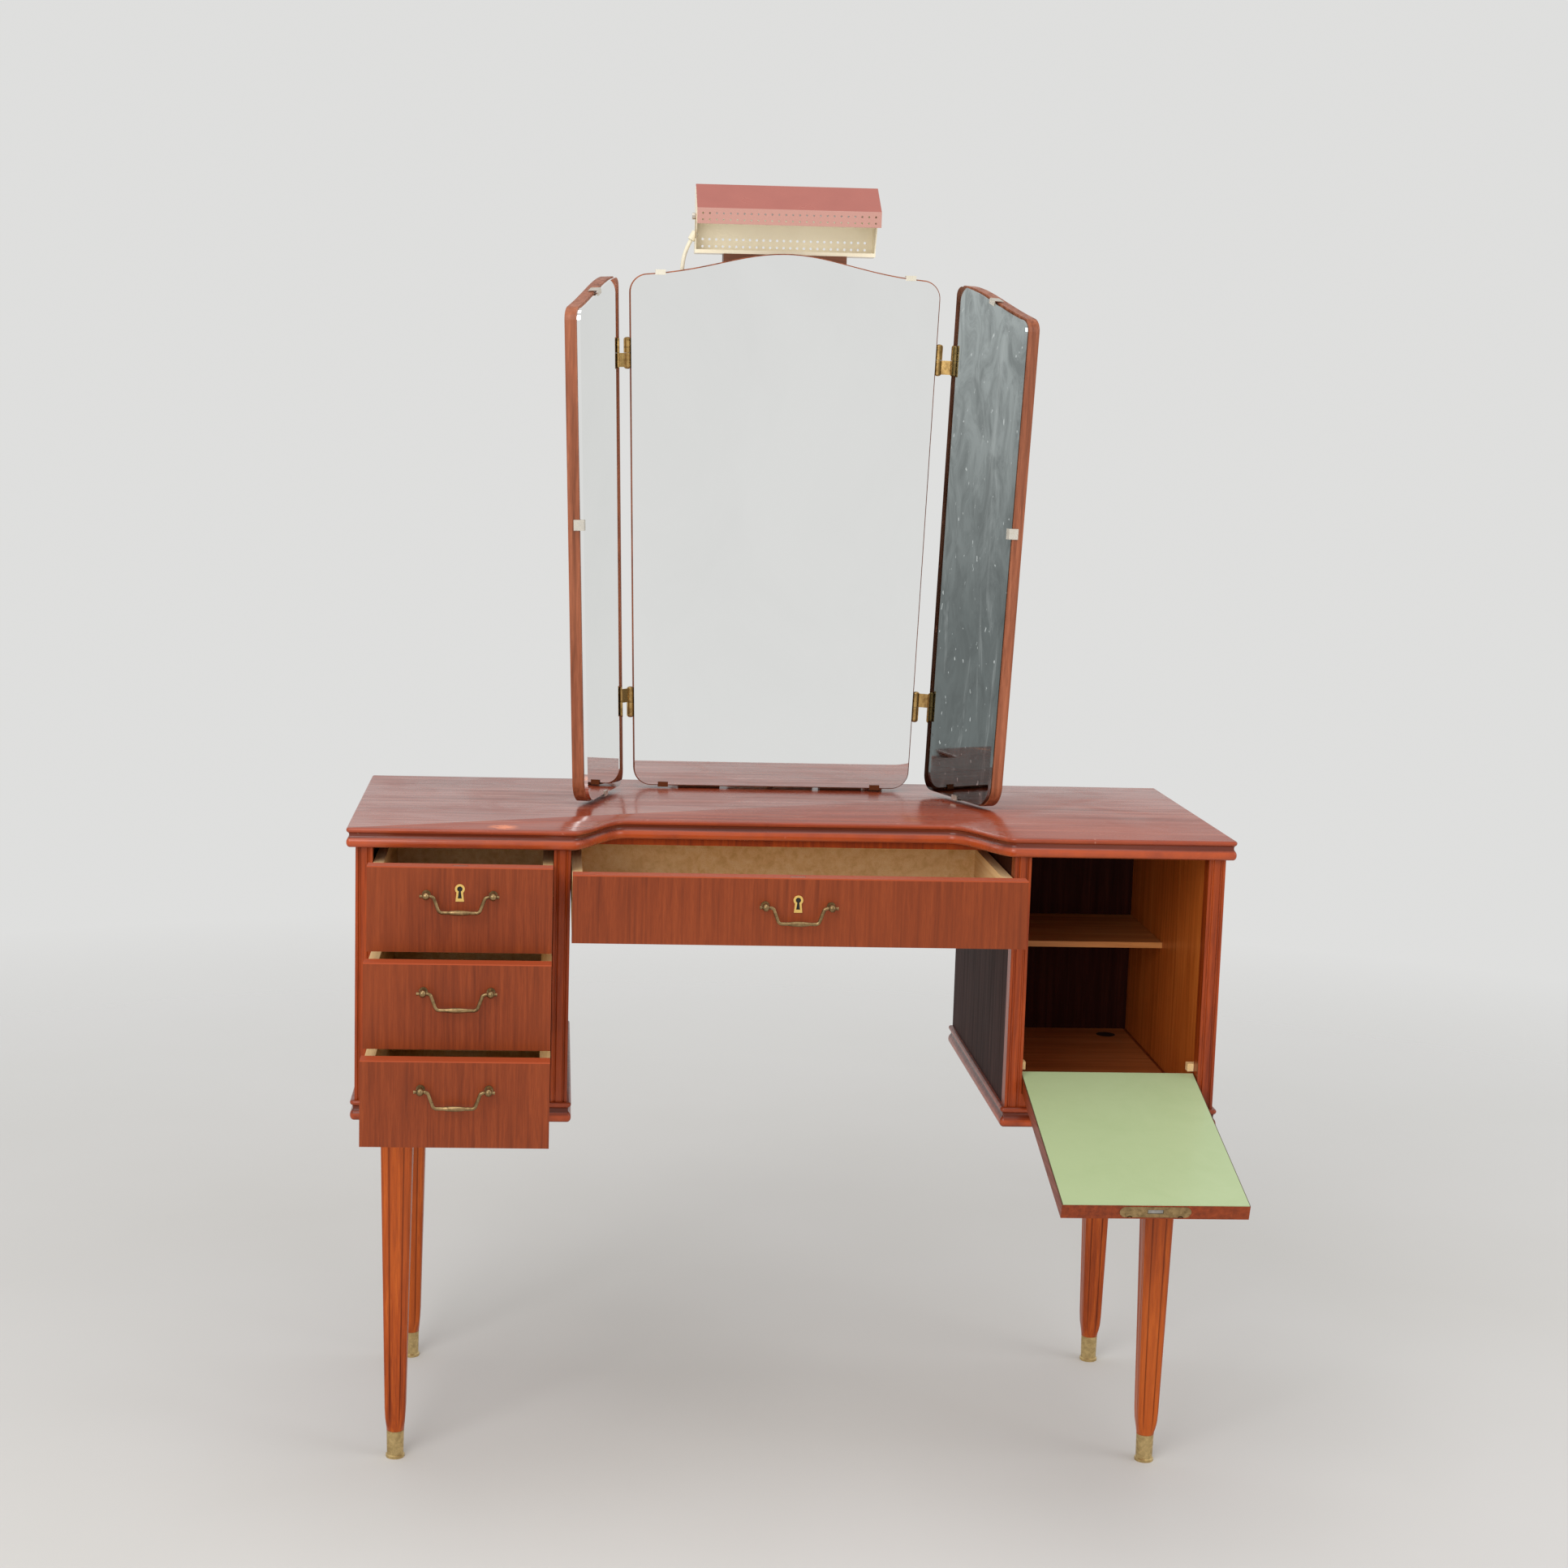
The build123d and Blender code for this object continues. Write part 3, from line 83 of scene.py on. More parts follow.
# ---- shader writing
class Shader:
    """A material under construction: a thin layer over its node tree."""

    def __init__(self, name: str) -> None:
        """Start an empty material with one surface shader."""
        self.material = bpy.data.materials.new(name)
        self.material.use_nodes = True
        self.tree = self.material.node_tree
        self.surface = self.tree.nodes["Principled BSDF"]
        self.coords = self.tree.nodes.new("ShaderNodeTexCoord").outputs["Object"]

    def set(self, **values: object) -> None:
        """Set constants on the surface shader; underscores in names stand for spaces."""
        for key, value in values.items():
            self.surface.inputs[key.replace("_", " ")].default_value = value

    def link(self, source: Socket, socket: str) -> None:
        """Join a socket to a named input of the surface shader."""
        self.tree.links.new(source, self.surface.inputs[socket])

    def node(self, kind: str, inputs: dict, **settings: object) -> bpy.types.Node:
        """Add a node, set its properties, and link or set its inputs.

        Args:
            kind: the node's type.
            inputs: a socket or a constant for each input, by its name or number.
            settings: the node's own properties.
        Returns:
            The new node.
        """
        node = self.tree.nodes.new(kind)
        for key, value in settings.items():
            setattr(node, key, value)
        for key, value in inputs.items():
            if isinstance(value, Socket):
                self.tree.links.new(value, node.inputs[key])
            else:
                node.inputs[key].default_value = value
        return node

    def noise(self, scale: Point, detail: float = 3.0, rough: float = 0.55, warp: float = 0.0,
              turn: Point = (0, 0, 0)) -> Socket:
        """Return noise over the object coordinates.

        Args:
            scale: cells per metre along each axis.
            detail: octaves of finer noise.
            rough: strength of the finer octaves.
            warp: how far the noise bends itself.
            turn: rotation of the coordinates, in radians.
        Returns:
            The noise's value.
        """
        place = self.node("ShaderNodeMapping", {"Vector": self.coords, "Scale": scale, "Rotation": turn})
        inputs = {"Vector": place.outputs["Vector"], "Scale": 1.0, "Detail": detail, "Roughness": rough,
                  "Distortion": warp}
        return self.node("ShaderNodeTexNoise", inputs).outputs["Fac"]

    def ramp(self, value: Socket, *stops: tuple[float, Colour]) -> Socket:
        """Return a colour read off a ramp with the given stops."""
        node = self.node("ShaderNodeValToRGB", {"Fac": value})
        points = node.color_ramp.elements
        while len(points) < len(stops):
            points.new(0.5)
        for element, (place, colour) in zip(points, stops):
            element.position = place
            element.color = colour
        return node.outputs["Color"]

    def level(self, value: Socket, low: float, high: float,
              to_low: float = 0.0, to_high: float = 1.0) -> Socket:
        """Return a value stretched from one range to another, clamped at its ends."""
        inputs = {"Value": value, "From Min": low, "From Max": high, "To Min": to_low, "To Max": to_high}
        return self.node("ShaderNodeMapRange", inputs).outputs["Result"]

    def math(self, operation: str, first: object, second: object) -> Socket:
        """Return the result of a math node; each operand is a socket or a number."""
        return self.node("ShaderNodeMath", {0: first, 1: second}, operation=operation).outputs["Value"]

    def mix(self, amount: object, first: object, second: object) -> Socket:
        """Return a mix of two colours, each a socket or a constant."""
        inputs = {0: amount, 6: first, 7: second}        # 6 and 7 are the node's two colours
        return self.node("ShaderNodeMix", inputs, data_type="RGBA").outputs[2]

    def part(self, axis: int) -> Socket:
        """Return one component of the object coordinates."""
        return self.node("ShaderNodeSeparateXYZ", {0: self.coords}).outputs[axis]

    def band(self, value: Socket, low: float, high: float, soft: float) -> Socket:
        """Return 1 where the value lies between two limits, with soft ends."""
        rise = self.level(value, low - soft, low + soft)
        fall = self.level(value, high - soft, high + soft, 1.0, 0.0)
        return self.math("MULTIPLY", rise, fall)

    def spot(self, centre: Vector, radius: float, soft: float) -> Socket:
        """Return 1 near a point, falling to 0 over the soft distance."""
        distance = self.node("ShaderNodeVectorMath", {0: self.coords, 1: centre}, operation="DISTANCE")
        return self.level(distance.outputs["Value"], radius, radius + soft, 1.0, 0.0)

    def relief(self) -> Socket:
        """Return the piece's own relief attribute: below 0 in grooves, above 0 on crests."""
        return self.node("ShaderNodeAttribute", {}, attribute_name="relief").outputs["Fac"]

    def bump(self, height: Socket, distance: float, strength: float) -> None:
        """Feed a height into the surface's normal; the distance is in metres."""
        inputs = {"Height": height, "Distance": distance, "Strength": strength}
        self.link(self.node("ShaderNodeBump", inputs).outputs["Normal"], "Normal")


# ---- finishes
@dataclass(frozen=True)
class Wood:
    """Lacquered or bare wood with streaks and pores along its grain."""
    name: str
    slot: str
    dark: Colour
    middle: Colour
    light: Colour
    grain: Grain = Grain.UPRIGHT
    streaks: float = 130.0          # streaks per metre across the grain
    rough: float = 0.38
    coat: float = 0.25
    lipping: Optional[Pair] = None
    lipping_colour: Colour = paint(204, 106, 68)
    scratches: float = 0.0
    worn: Optional[Vector] = None
    specular: float = 0.25
    # moulded: paints shade into grooves and a highlight onto crests, from the relief attribute; the next
    # field sets how dark the painted groove shade is
    moulded: bool = False
    groove_shade: float = 0.62

    def make(self) -> bpy.types.Material:
        """Build the material and return it."""
        sheet = Shader(self.name)
        across = [self.streaks] * 3
        across[self.grain.value] = self.streaks / 26
        streak = sheet.noise(tuple(across), 5.0, 0.62, 0.4)
        fine = [self.streaks * 7.5] * 3
        fine[self.grain.value] = self.streaks / 3.2
        pores = sheet.noise(tuple(fine), 2.0, 0.5)
        cloud = sheet.noise((3.4, 3.4, 3.4), 3.0, 0.5, 0.5)
        colour = sheet.ramp(streak, (0.30, self.dark), (0.50, self.middle), (0.72, self.light))
        pore_mark = sheet.level(pores, 0.36, 0.52, 0.42, 0.0)
        colour = sheet.mix(pore_mark, colour, self.dark)
        colour = sheet.mix(sheet.level(cloud, 0.42, 0.70, 0.0, 0.42), colour, self.light)
        colour = sheet.mix(sheet.level(cloud, 0.20, 0.42, 0.40, 0.0), colour, self.dark)
        roughness = sheet.level(streak, 0.3, 0.7, self.rough + 0.07, self.rough - 0.05)
        if self.scratches:
            colour, roughness = self._wear(sheet, colour, roughness)
        if self.lipping:
            edge = sheet.band(sheet.part(2), *self.lipping, 0.0002)
            colour = sheet.mix(edge, colour, self.lipping_colour)
        # Painted light from the relief attribute: a painted highlight on crests, in noisy patches, and
        # painted shade in grooves and coves.
        if self.moulded:
            relief = sheet.relief()
            crest_noise = sheet.noise((26.0, 26.0, 26.0), 4.0, 0.6)
            highlight_patches = sheet.level(crest_noise, 0.36, 0.62, 0.25, 0.95)
            crest_highlight = sheet.math("MULTIPLY", sheet.level(relief, 0.1, 1.0), highlight_patches)
            colour = sheet.mix(crest_highlight, colour, paint(172, 74, 34))
            colour = sheet.mix(sheet.level(relief, -1.0, -0.05, self.groove_shade, 0.0), colour, paint(56, 18, 8))
        sheet.link(colour, "Base Color")
        sheet.link(roughness, "Roughness")
        sheet.set(Coat_Weight=self.coat, Coat_Roughness=0.12, Specular_IOR_Level=self.specular)
        sheet.bump(pores, 0.00025, 0.22)
        return sheet.material

    def _wear(self, sheet: Shader, colour: Socket,
              roughness: Socket) -> tuple[Socket, Socket]:
        """Add pale scratches in two directions, dull smears and a worn place.

        Args:
            sheet: the shader being built.
            colour: the colour so far.
            roughness: the roughness so far.
        Returns:
            The new colour and roughness.
        """
        for turn, scale in (((0, 0, 0.35), (3.0, 150.0, 8.0)), ((0, 0, -0.9), (4.0, 190.0, 8.0))):
            line = sheet.noise(scale, 1.0, 0.4, 0.2, turn=turn)
            thin = sheet.band(line, 0.735, 0.765, 0.006)
            colour = sheet.mix(sheet.math("MULTIPLY", thin, self.scratches), colour, paint(226, 182, 160))
        smear = sheet.noise((7.0, 9.0, 7.0), 5.0, 0.65, 1.0)
        roughness = sheet.math("ADD", roughness, sheet.level(smear, 0.42, 0.75, -0.04, 0.12))
        dots = sheet.noise((90.0, 90.0, 90.0), 2.0, 0.5)
        speck = sheet.level(dots, 0.735, 0.765, 0.0, self.scratches)
        colour = sheet.mix(speck, colour, paint(214, 158, 134))
        if self.worn is not None:
            ragged = sheet.noise((70.0, 120.0, 70.0), 4.0, 0.6)
            edge = sheet.level(ragged, 0.42, 0.5)
            place = sheet.math("MULTIPLY", sheet.spot(self.worn, 0.006, 0.014), edge)
            colour = sheet.mix(place, colour, paint(226, 124, 74))
        return colour, roughness


@dataclass(frozen=True)
class Metal:
    """Bare metal with tarnish in its hollows and fine marks."""
    name: str
    slot: str
    bright: Colour
    tarnish: Colour
    amount: float = 0.5
    rough: float = 0.3
    pale_band: Optional[Pair] = None
    holes: Sequence[tuple[Vector, float]] = ()
    low_colour: Optional[tuple[float, Colour]] = None

    def make(self) -> bpy.types.Material:
        """Build the material and return it."""
        sheet = Shader(self.name)
        blotch = sheet.noise((140.0, 140.0, 140.0), 5.0, 0.65, 0.6)
        fine = sheet.noise((900.0, 900.0, 300.0), 2.0)
        stain = sheet.level(blotch, 0.36, 0.66, 0.0, self.amount)
        colour = sheet.mix(stain, self.bright, self.tarnish)
        if self.pale_band:
            pale = sheet.band(sheet.part(0), *self.pale_band, 0.0002)
            colour = sheet.mix(pale, colour, paint(240, 200, 118))
        if self.low_colour:
            under = sheet.level(sheet.part(2), self.low_colour[0], self.low_colour[0] + 0.001, 1.0, 0.0)
            colour = sheet.mix(under, colour, self.low_colour[1])
        for centre, radius in self.holes:
            ring = sheet.math("SUBTRACT", sheet.spot(centre, radius, 0.0003),
                              sheet.spot(centre, radius * 0.62, 0.0003))
            colour = sheet.mix(ring, colour, paint(40, 28, 16))
        sheet.link(colour, "Base Color")
        sheet.link(sheet.level(blotch, 0.3, 0.7, self.rough - 0.06, self.rough + 0.18), "Roughness")
        sheet.set(Metallic=1.0)
        sheet.bump(fine, 0.0001, 0.15)
        return sheet.material


@dataclass(frozen=True)
class SilveredGlass:
    """Mirror glass: a clear face over silvering that greys and spots with age; where streaks are set, a
    painted reflection that is darker low down and lighter up high, with blotches and pale streaks.
    """
    name: str
    tone: Colour
    spots: float = 0.1
    streaks: float = 0.0
    slot: str = "mirror_glass"

    def make(self) -> bpy.types.Material:
        """Build the material and return it."""
        sheet = Shader(self.name)
        haze = sheet.noise((5.0, 5.0, 3.0), 6.0, 0.62, 0.8)
        dust = sheet.noise((420.0, 420.0, 420.0), 3.0, 0.6)
        smear = sheet.noise((34.0, 34.0, 4.5), 5.0, 0.66, 1.2, turn=(0.25, 0.1, 0))
        colour = sheet.mix(sheet.level(haze, 0.46, 0.72, 0.0, self.spots), self.tone, paint(92, 98, 98))
        if self.streaks:
            # Painted reflection: darker low down, lighter up high, with a wavy edge.
            height = sheet.math("ADD", sheet.part(2), sheet.math("MULTIPLY", haze, 0.35))
            fall = sheet.level(height, 1.12, 1.58)
            colour = sheet.mix(fall, paint(118, 126, 126), paint(196, 204, 204))
            # Dark blotches, pale streaks and pale flecks: worn silvering and painted reflection together.
            blot = sheet.noise((26.0, 26.0, 13.0), 6.0, 0.68, 1.6, turn=(0.2, 0.3, 0))
            colour = sheet.mix(sheet.level(blot, 0.42, 0.64, 0.0, 0.5), colour, paint(92, 98, 98))
            marks = sheet.level(smear, 0.58, 0.76, 0.0, self.streaks)
            colour = sheet.mix(marks, colour, paint(226, 232, 232))
            flecks = sheet.noise((170.0, 170.0, 90.0), 2.0, 0.5)
            colour = sheet.mix(sheet.level(flecks, 0.70, 0.74, 0.0, 0.8), colour, paint(232, 238, 238))
        roughness = sheet.math("ADD", sheet.level(haze, 0.4, 0.8, 0.012, 0.03 + self.spots * 0.2),
                               sheet.level(dust, 0.62, 0.8, 0.0, 0.06 + self.streaks * 0.2))
        sheet.link(colour, "Base Color")
        sheet.link(roughness, "Roughness")
        sheet.set(Metallic=1.0)
        return sheet.material


@dataclass(frozen=True)
class Coating:
    """Paint, enamel, plastic, laminate or rubber: an even colour with light marks."""
    name: str
    slot: str
    colour: Colour
    mark: Colour
    marks: float = 0.2
    rough: float = 0.35
    coat: float = 0.0
    painted_light_below: Optional[float] = None
    edge_lines: Optional[Pair] = None

    def make(self) -> bpy.types.Material:
        """Build the material and return it."""
        sheet = Shader(self.name)
        cloud = sheet.noise((22.0, 22.0, 22.0), 5.0, 0.6, 0.4)
        grit = sheet.noise((520.0, 520.0, 520.0), 2.0, 0.5)
        colour = sheet.mix(sheet.level(cloud, 0.4, 0.75, 0.0, self.marks), self.colour, self.mark)
        colour = sheet.mix(sheet.level(grit, 0.70, 0.78, 0.0, self.marks), colour, self.mark)
        # Painted light: the shade's front lip, below this height, is painted lighter than its top plate, as
        # the face that catches the light.
        if self.painted_light_below is not None:
            lit_lip = sheet.level(sheet.part(2), self.painted_light_below, self.painted_light_below + 0.0006, 1.0, 0.0)
            colour = sheet.mix(lit_lip, colour, paint(184, 136, 124))
        if self.edge_lines:
            inside = sheet.band(sheet.part(0), *self.edge_lines, 0.0001)
            colour = sheet.mix(inside, paint(74, 62, 40), colour)
        sheet.link(colour, "Base Color")
        sheet.link(sheet.level(cloud, 0.3, 0.7, self.rough - 0.05, self.rough + 0.08), "Roughness")
        sheet.set(Coat_Weight=self.coat)
        sheet.bump(grit, 0.0002, 0.1)
        return sheet.material


FINISHES: dict[str, object] = {
    "top": Wood(
        "top_lacquer", "top_wood", paint(110, 44, 26), paint(140, 58, 36), paint(164, 78, 50),
        Grain.ALONG_X, 90.0, 0.26, 0.18, scratches=0.4, worn=at(-326, 22, 756), specular=0.32,
        moulded=True),
    "mahogany": Wood(
        "red_mahogany", "mahogany", paint(118, 44, 8), paint(160, 68, 14), paint(188, 92, 28),
        streaks=150.0, rough=0.36, coat=0.10, moulded=True),
    "post": Wood(
        "post_mahogany", "mahogany", paint(96, 32, 8), paint(140, 54, 14), paint(168, 72, 24),
        streaks=150.0, rough=0.36, coat=0.12, moulded=True),
    "flap": Wood(
        "flap_mahogany", "mahogany", paint(100, 40, 14), paint(128, 52, 18), paint(146, 64, 26),
        Grain.ALONG_Y, 200.0, 0.42, 0.06),
    "moulding": Wood(
        "moulding_mahogany", "mahogany", paint(80, 28, 12), paint(118, 46, 22), paint(146, 62, 32),
        Grain.ALONG_X, 150.0, 0.3, 0.2, moulded=True),
    "side": Wood(
        "side_veneer", "side_wood", paint(34, 14, 10), paint(50, 22, 16), paint(66, 30, 20), streaks=150.0,
        rough=0.62, coat=0.0, specular=0.08),
    "frame": Wood(
        "mirror_frame_wood", "mirror_wood", paint(104, 56, 34), paint(142, 80, 52), paint(174, 106, 74),
        streaks=160.0, rough=0.42, coat=0.08),
    "cabinet": Wood(
        "cabinet_veneer", "cabinet_wood", paint(150, 74, 22), paint(182, 92, 32), paint(202, 114, 48),
        streaks=120.0, rough=0.42, coat=0.1),
    # A lighter copy of the cabinet's veneer: painted light on the shelf deep inside the cabinet.
    "shelf": Wood(
        "shelf_veneer_painted_light", "cabinet_wood", paint(172, 108, 56), paint(198, 130, 70), paint(214, 150, 88),
        Grain.ALONG_X, 110.0, 0.42, 0.1),
    "cabinet_floor": Wood(
        "cabinet_floor_veneer", "cabinet_wood", paint(150, 82, 40), paint(180, 104, 54),
        paint(200, 124, 70), Grain.ALONG_X, 110.0, 0.4, 0.1),
    "birch": Wood(
        "bare_birch", "birch", paint(214, 174, 116), paint(236, 200, 144), paint(246, 218, 170),
        Grain.ALONG_Y, 110.0, 0.62, 0.0),
    "block": Wood(
        "lamp_block_wood", "block_wood", paint(92, 54, 36), paint(120, 74, 52), paint(138, 90, 66),
        Grain.ALONG_X, 120.0, 0.5, 0.05),
    "brass": Metal("aged_brass", "brass", paint(200, 164, 104), paint(112, 84, 48), 0.75, 0.3),
    "handle": Metal("handle_brass", "brass", paint(164, 136, 96), paint(84, 66, 44), 0.8, 0.34),
    "ferrule": Metal(
        "ferrule_brass", "ferrule_brass", paint(220, 194, 138), paint(140, 112, 70), 0.55, 0.34),
    "steel": Metal("bolt_steel", "bolt_steel", paint(176, 172, 166), paint(110, 104, 96), 0.5, 0.35),
    "nickel": Metal("nickel_plate", "nickel", paint(226, 220, 208), paint(172, 160, 140), 0.4, 0.26),
    "clip": Metal(
        "clip_metal", "nickel", paint(246, 240, 224), paint(208, 196, 170), 0.4, 0.4,
        low_colour=(0.80, paint(120, 70, 44))),
    "glass": SilveredGlass("mirror_silver", (0.95, 0.955, 0.95, 1.0), 0.03),
    # With streaks set, its colour is a painted reflection: darker low down, with blotches and streaks over
    # worn silvering.
    "aged_glass_painted_reflection": SilveredGlass("aged_silver_painted_reflection", (0.30, 0.325, 0.325, 1.0), 0.4, 0.38),
    "laminate": Coating(
        "green_laminate", "green_laminate", paint(168, 184, 140), paint(154, 172, 124), 0.35, 0.34, 0.1,
        edge_lines=(0.2708, 0.4692)),
    "cream": Coating(
        "cream_enamel", "cream_metal", paint(244, 234, 206), paint(228, 212, 178), 0.3, 0.3, 0.2),
    "pink": Coating(
        "pink_enamel", "pink_metal", paint(160, 88, 76), paint(142, 74, 64), 0.35, 0.3, 0.1,
        # the lip below this height is painted lighter: painted light
        painted_light_below=1.4612),
    "tube": Coating("opal_tube", "lamp_glass", paint(240, 240, 234), paint(226, 226, 218), 0.1, 0.15, 0.5),
    "holder": Coating(
        "cream_bakelite", "cream_plastic", paint(226, 216, 188), paint(206, 192, 160), 0.3, 0.4),
    "cord": Coating("cream_cable", "cream_rubber", paint(232, 224, 200), paint(206, 196, 170), 0.35, 0.5),
    "shadow": Coating("dark_recess", "block_wood", paint(34, 24, 18), paint(22, 16, 12), 0.3, 0.7),
    # A flat dark sheet in each keyhole: painted shade.
    "keyhole": Coating("keyhole_painted_shade", "brass", paint(26, 20, 16), paint(16, 12, 10), 0.3, 0.7),
}
MATERIALS: dict[str, bpy.types.Material] = {}


def finish_of(name: str) -> bpy.types.Material:
    """Return the material of a finish, built the first time that it is asked for."""
    if name not in MATERIALS:
        MATERIALS[name] = FINISHES[name].make()
    return MATERIALS[name]


# ---- piece helpers
def linked(name: str, data: bpy.types.ID) -> Item:
    """Return a new object in the scene for a mesh, curve, camera or light."""
    item = bpy.data.objects.new(name, data)
    bpy.context.scene.collection.objects.link(item)
    return item


def dress(node: str, finish: str) -> None:
    """Give a node of the frame a finish in place of its plain one."""
    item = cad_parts[node]
    item.data.materials.clear()
    item.data.materials.append(finish_of(finish))


def settle(item: Item, body: str, finish: str, nodes: Sequence[str] = ()) -> Item:
    """Finish a new piece: its material, its body and the nodes that it stands for.

    Args:
        item: the new object, with its place in its mesh.
        body: the body that it rides on.
        finish: the name of its finish.
        nodes: the nodes that it replaces.
    Returns:
        The same object.
    """
    if not item.data.materials:
        item.data.materials.append(finish_of(finish))
    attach(item, body)
    if nodes:
        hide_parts(*nodes)
    log.info("%s rides on %s", item.name, body)
    return item


def piece_of(name: str, tool: BMesh, smooth: bool = True,
             angle: float = 35.0) -> Item:
    """Turn a bmesh into a linked object with outward faces.

    Args:
        name: the object's name.
        tool: the mesh; it is freed.
        smooth: whether faces below the angle shade smoothly.
        angle: edges sharper than this stay crisp, in degrees.
    Returns:
        The new object.
    """
    bmesh.ops.remove_doubles(tool, verts=tool.verts, dist=1e-6)
    bmesh.ops.recalc_face_normals(tool, faces=tool.faces)
    mesh = bpy.data.meshes.new(name)
    tool.to_mesh(mesh)
    tool.free()
    item = linked(name, mesh)
    if smooth:
        mesh.shade_smooth()
        mesh.set_sharp_from_angle(angle=radians(angle))
    return item


def loft(tool: BMesh, rings: Sequence[Sequence[Vector]], capped: bool = True,
         relief: Optional[Callable[[int, int], float]] = None) -> None:
    """Skin a closed tube through rings of equally many points.

    Args:
        tool: the mesh to add to.
        rings: the sections in order.
        capped: whether both ends are closed.
        relief: the relief value of a point, from its ring's number and its own.
    """
    layer = tool.verts.layers.float.get("relief") or tool.verts.layers.float.new("relief")
    rows = [[tool.verts.new(point) for point in ring] for ring in rings]
    if relief is not None:
        for ring_number, row in enumerate(rows):
            for number, vertex in enumerate(row):
                vertex[layer] = relief(ring_number, number)
    count = len(rows[0])
    for lower, upper in zip(rows, rows[1:]):
        for index in range(count):
            following = (index + 1) % count
            tool.faces.new((lower[index], lower[following], upper[following], upper[index]))
    if capped:
        tool.faces.new(list(reversed(rows[0])))
        tool.faces.new(rows[-1])


def add_box(tool: BMesh, low: Point, high: Point) -> None:
    """Add a box between two corners, in the millimetres that at() takes."""
    (x0, y0, z0), (x1, y1, z1) = low, high
    corners = [(x0, y0), (x1, y0), (x1, y1), (x0, y1)]
    loft(tool, [[at(x, y, z) for x, y in corners] for z in (z0, z1)])


def front_corner(half: float, front: float, radius: float) -> list[Pair]:
    """Return the rounded front left corner of an outline, from its side to its front."""
    turns = [pi / 2 * step / 6 for step in range(7)]
    return [(radius * (1 - cos(turn)) - half, front + radius * (1 - sin(turn))) for turn in turns]


def with_mirror_image(points: Sequence[Pair]) -> list[Pair]:
    """Return a left half's points and then its mirror image's, back to front."""
    return list(points) + [(-x, y) for x, y in reversed(points)]


def bezier(points: Sequence[Pair], steps: int) -> list[Pair]:
    """Sample a cubic curve, without its first point.

    Args:
        points: the four control points.
        steps: how many points to return.
    Returns:
        The sampled points in order.
    """
    (ax, ay), (bx, by), (cx, cy), (dx, dy) = points
    made = []
    for step in range(1, steps + 1):
        t = step / steps
        s = 1 - t
        made.append((ax * s ** 3 + 3 * bx * s * s * t + 3 * cx * s * t * t + dx * t ** 3,
                     ay * s ** 3 + 3 * by * s * s * t + 3 * cy * s * t * t + dy * t ** 3))
    return made


def inset_outline(outline: Sequence[Pair], inset: float,
                  back_y: float) -> list[Pair]:
    """Move a closed outline inwards by its own normals, but keep its back edge in place.

    Args:
        outline: points in order, anticlockwise seen from above.
        inset: how far to move.
        back_y: the level of the edge that stays.
    Returns:
        The moved outline.
    """
    moved = []
    count = len(outline)
    for index, (x, y) in enumerate(outline):
        before, after = Vector(outline[index - 1]), Vector(outline[(index + 1) % count])
        here = Vector((x, y))
        first, second = (here - before).normalized(), (after - here).normalized()
        normal = Vector((-(first.y + second.y), first.x + second.x)).normalized()
        stretch = max(0.5, normal.dot(Vector((-first.y, first.x))))
        shift = normal * (inset / stretch)
        moved.append((x + shift.x, back_y if abs(y - back_y) < 1e-6 else y + shift.y))
    return moved


def moulding_profile(low: float, high: float) -> list[Pair]:
    """Heights and insets of an edge with a big lower bead, a cove and a small upper bead.

    Args:
        low: the lower face's height, in metres.
        high: the upper face's height.
    Returns:
        Pairs of height and inset, from the bottom up.
    """
    size = high - low
    lower = [(0.0, 3.2), (0.03, 1.9), (0.09, 0.8), (0.17, 0.15), (0.24, 0.0), (0.32, 0.15), (0.40, 0.8),
             (0.46, 1.7), (0.50, 2.5)]
    cove = [(0.54, 3.1), (0.60, 3.35), (0.67, 3.2), (0.73, 2.6)]
    upper = [(0.765, 1.4), (0.80, 0.55), (0.85, 0.1), (0.89, 0.0), (0.94, 0.3), (0.98, 1.1), (1.0, 2.2)]
    return [(low + size * part, inset * MM) for part, inset in lower + cove + upper]


def moulded_slab(tool: BMesh, outline: Sequence[Pair],
                 low: float, high: float) -> None:
    """Add a slab whose front and side edges carry the moulding.

    Args:
        tool: the mesh to add to.
        outline: its greatest outline in metres, anticlockwise, straight along the back.
        low: the underside's height.
        high: the upper face's height.
    """
    back_y = max(y for _, y in outline)
    rings, tones = [], []
    for height, inset in moulding_profile(low, high):
        rings.append([Vector((x, y, height)) for x, y in inset_outline(outline, inset, back_y)])
        part = (height - low) / (high - low)
        # Relief -1 in the cove marks it for painted shade; 1 on the lower bead's crest and 0.5 on the upper
        # bead's crest mark them for a painted highlight.
        tones.append(-1.0 if 0.5 <= part <= 0.74 else (1.0 if part < 0.4 and inset < 0.001 else
                     (0.5 if inset < 0.0006 else 0.0)))
    loft(tool, rings, relief=lambda ring, number: tones[ring])


def cut_box(item: Item, low: Vector, high: Vector) -> None:
    """Cut a box-shaped pocket out of a closed mesh."""
    tool = bmesh.new()
    bmesh.ops.create_cube(tool, size=1.0, matrix=Matrix.Translation((low + high) / 2)
                          @ Matrix.Diagonal((*(high - low), 1.0)))
    cutter = piece_of("pocket_cutter", tool, smooth=False)
    modifier = item.modifiers.new("pocket", "BOOLEAN")
    modifier.operation = "DIFFERENCE"
    modifier.object = cutter
    modifier.solver = "EXACT"
    bake(item)
    bpy.data.objects.remove(cutter)


def bake(item: Item) -> None:
    """Replace an object's mesh by its evaluated one and drop its modifiers."""
    bpy.context.view_layer.update()
    graph = bpy.context.evaluated_depsgraph_get()
    mesh = bpy.data.meshes.new_from_object(item.evaluated_get(graph))
    item.modifiers.clear()
    item.data = mesh


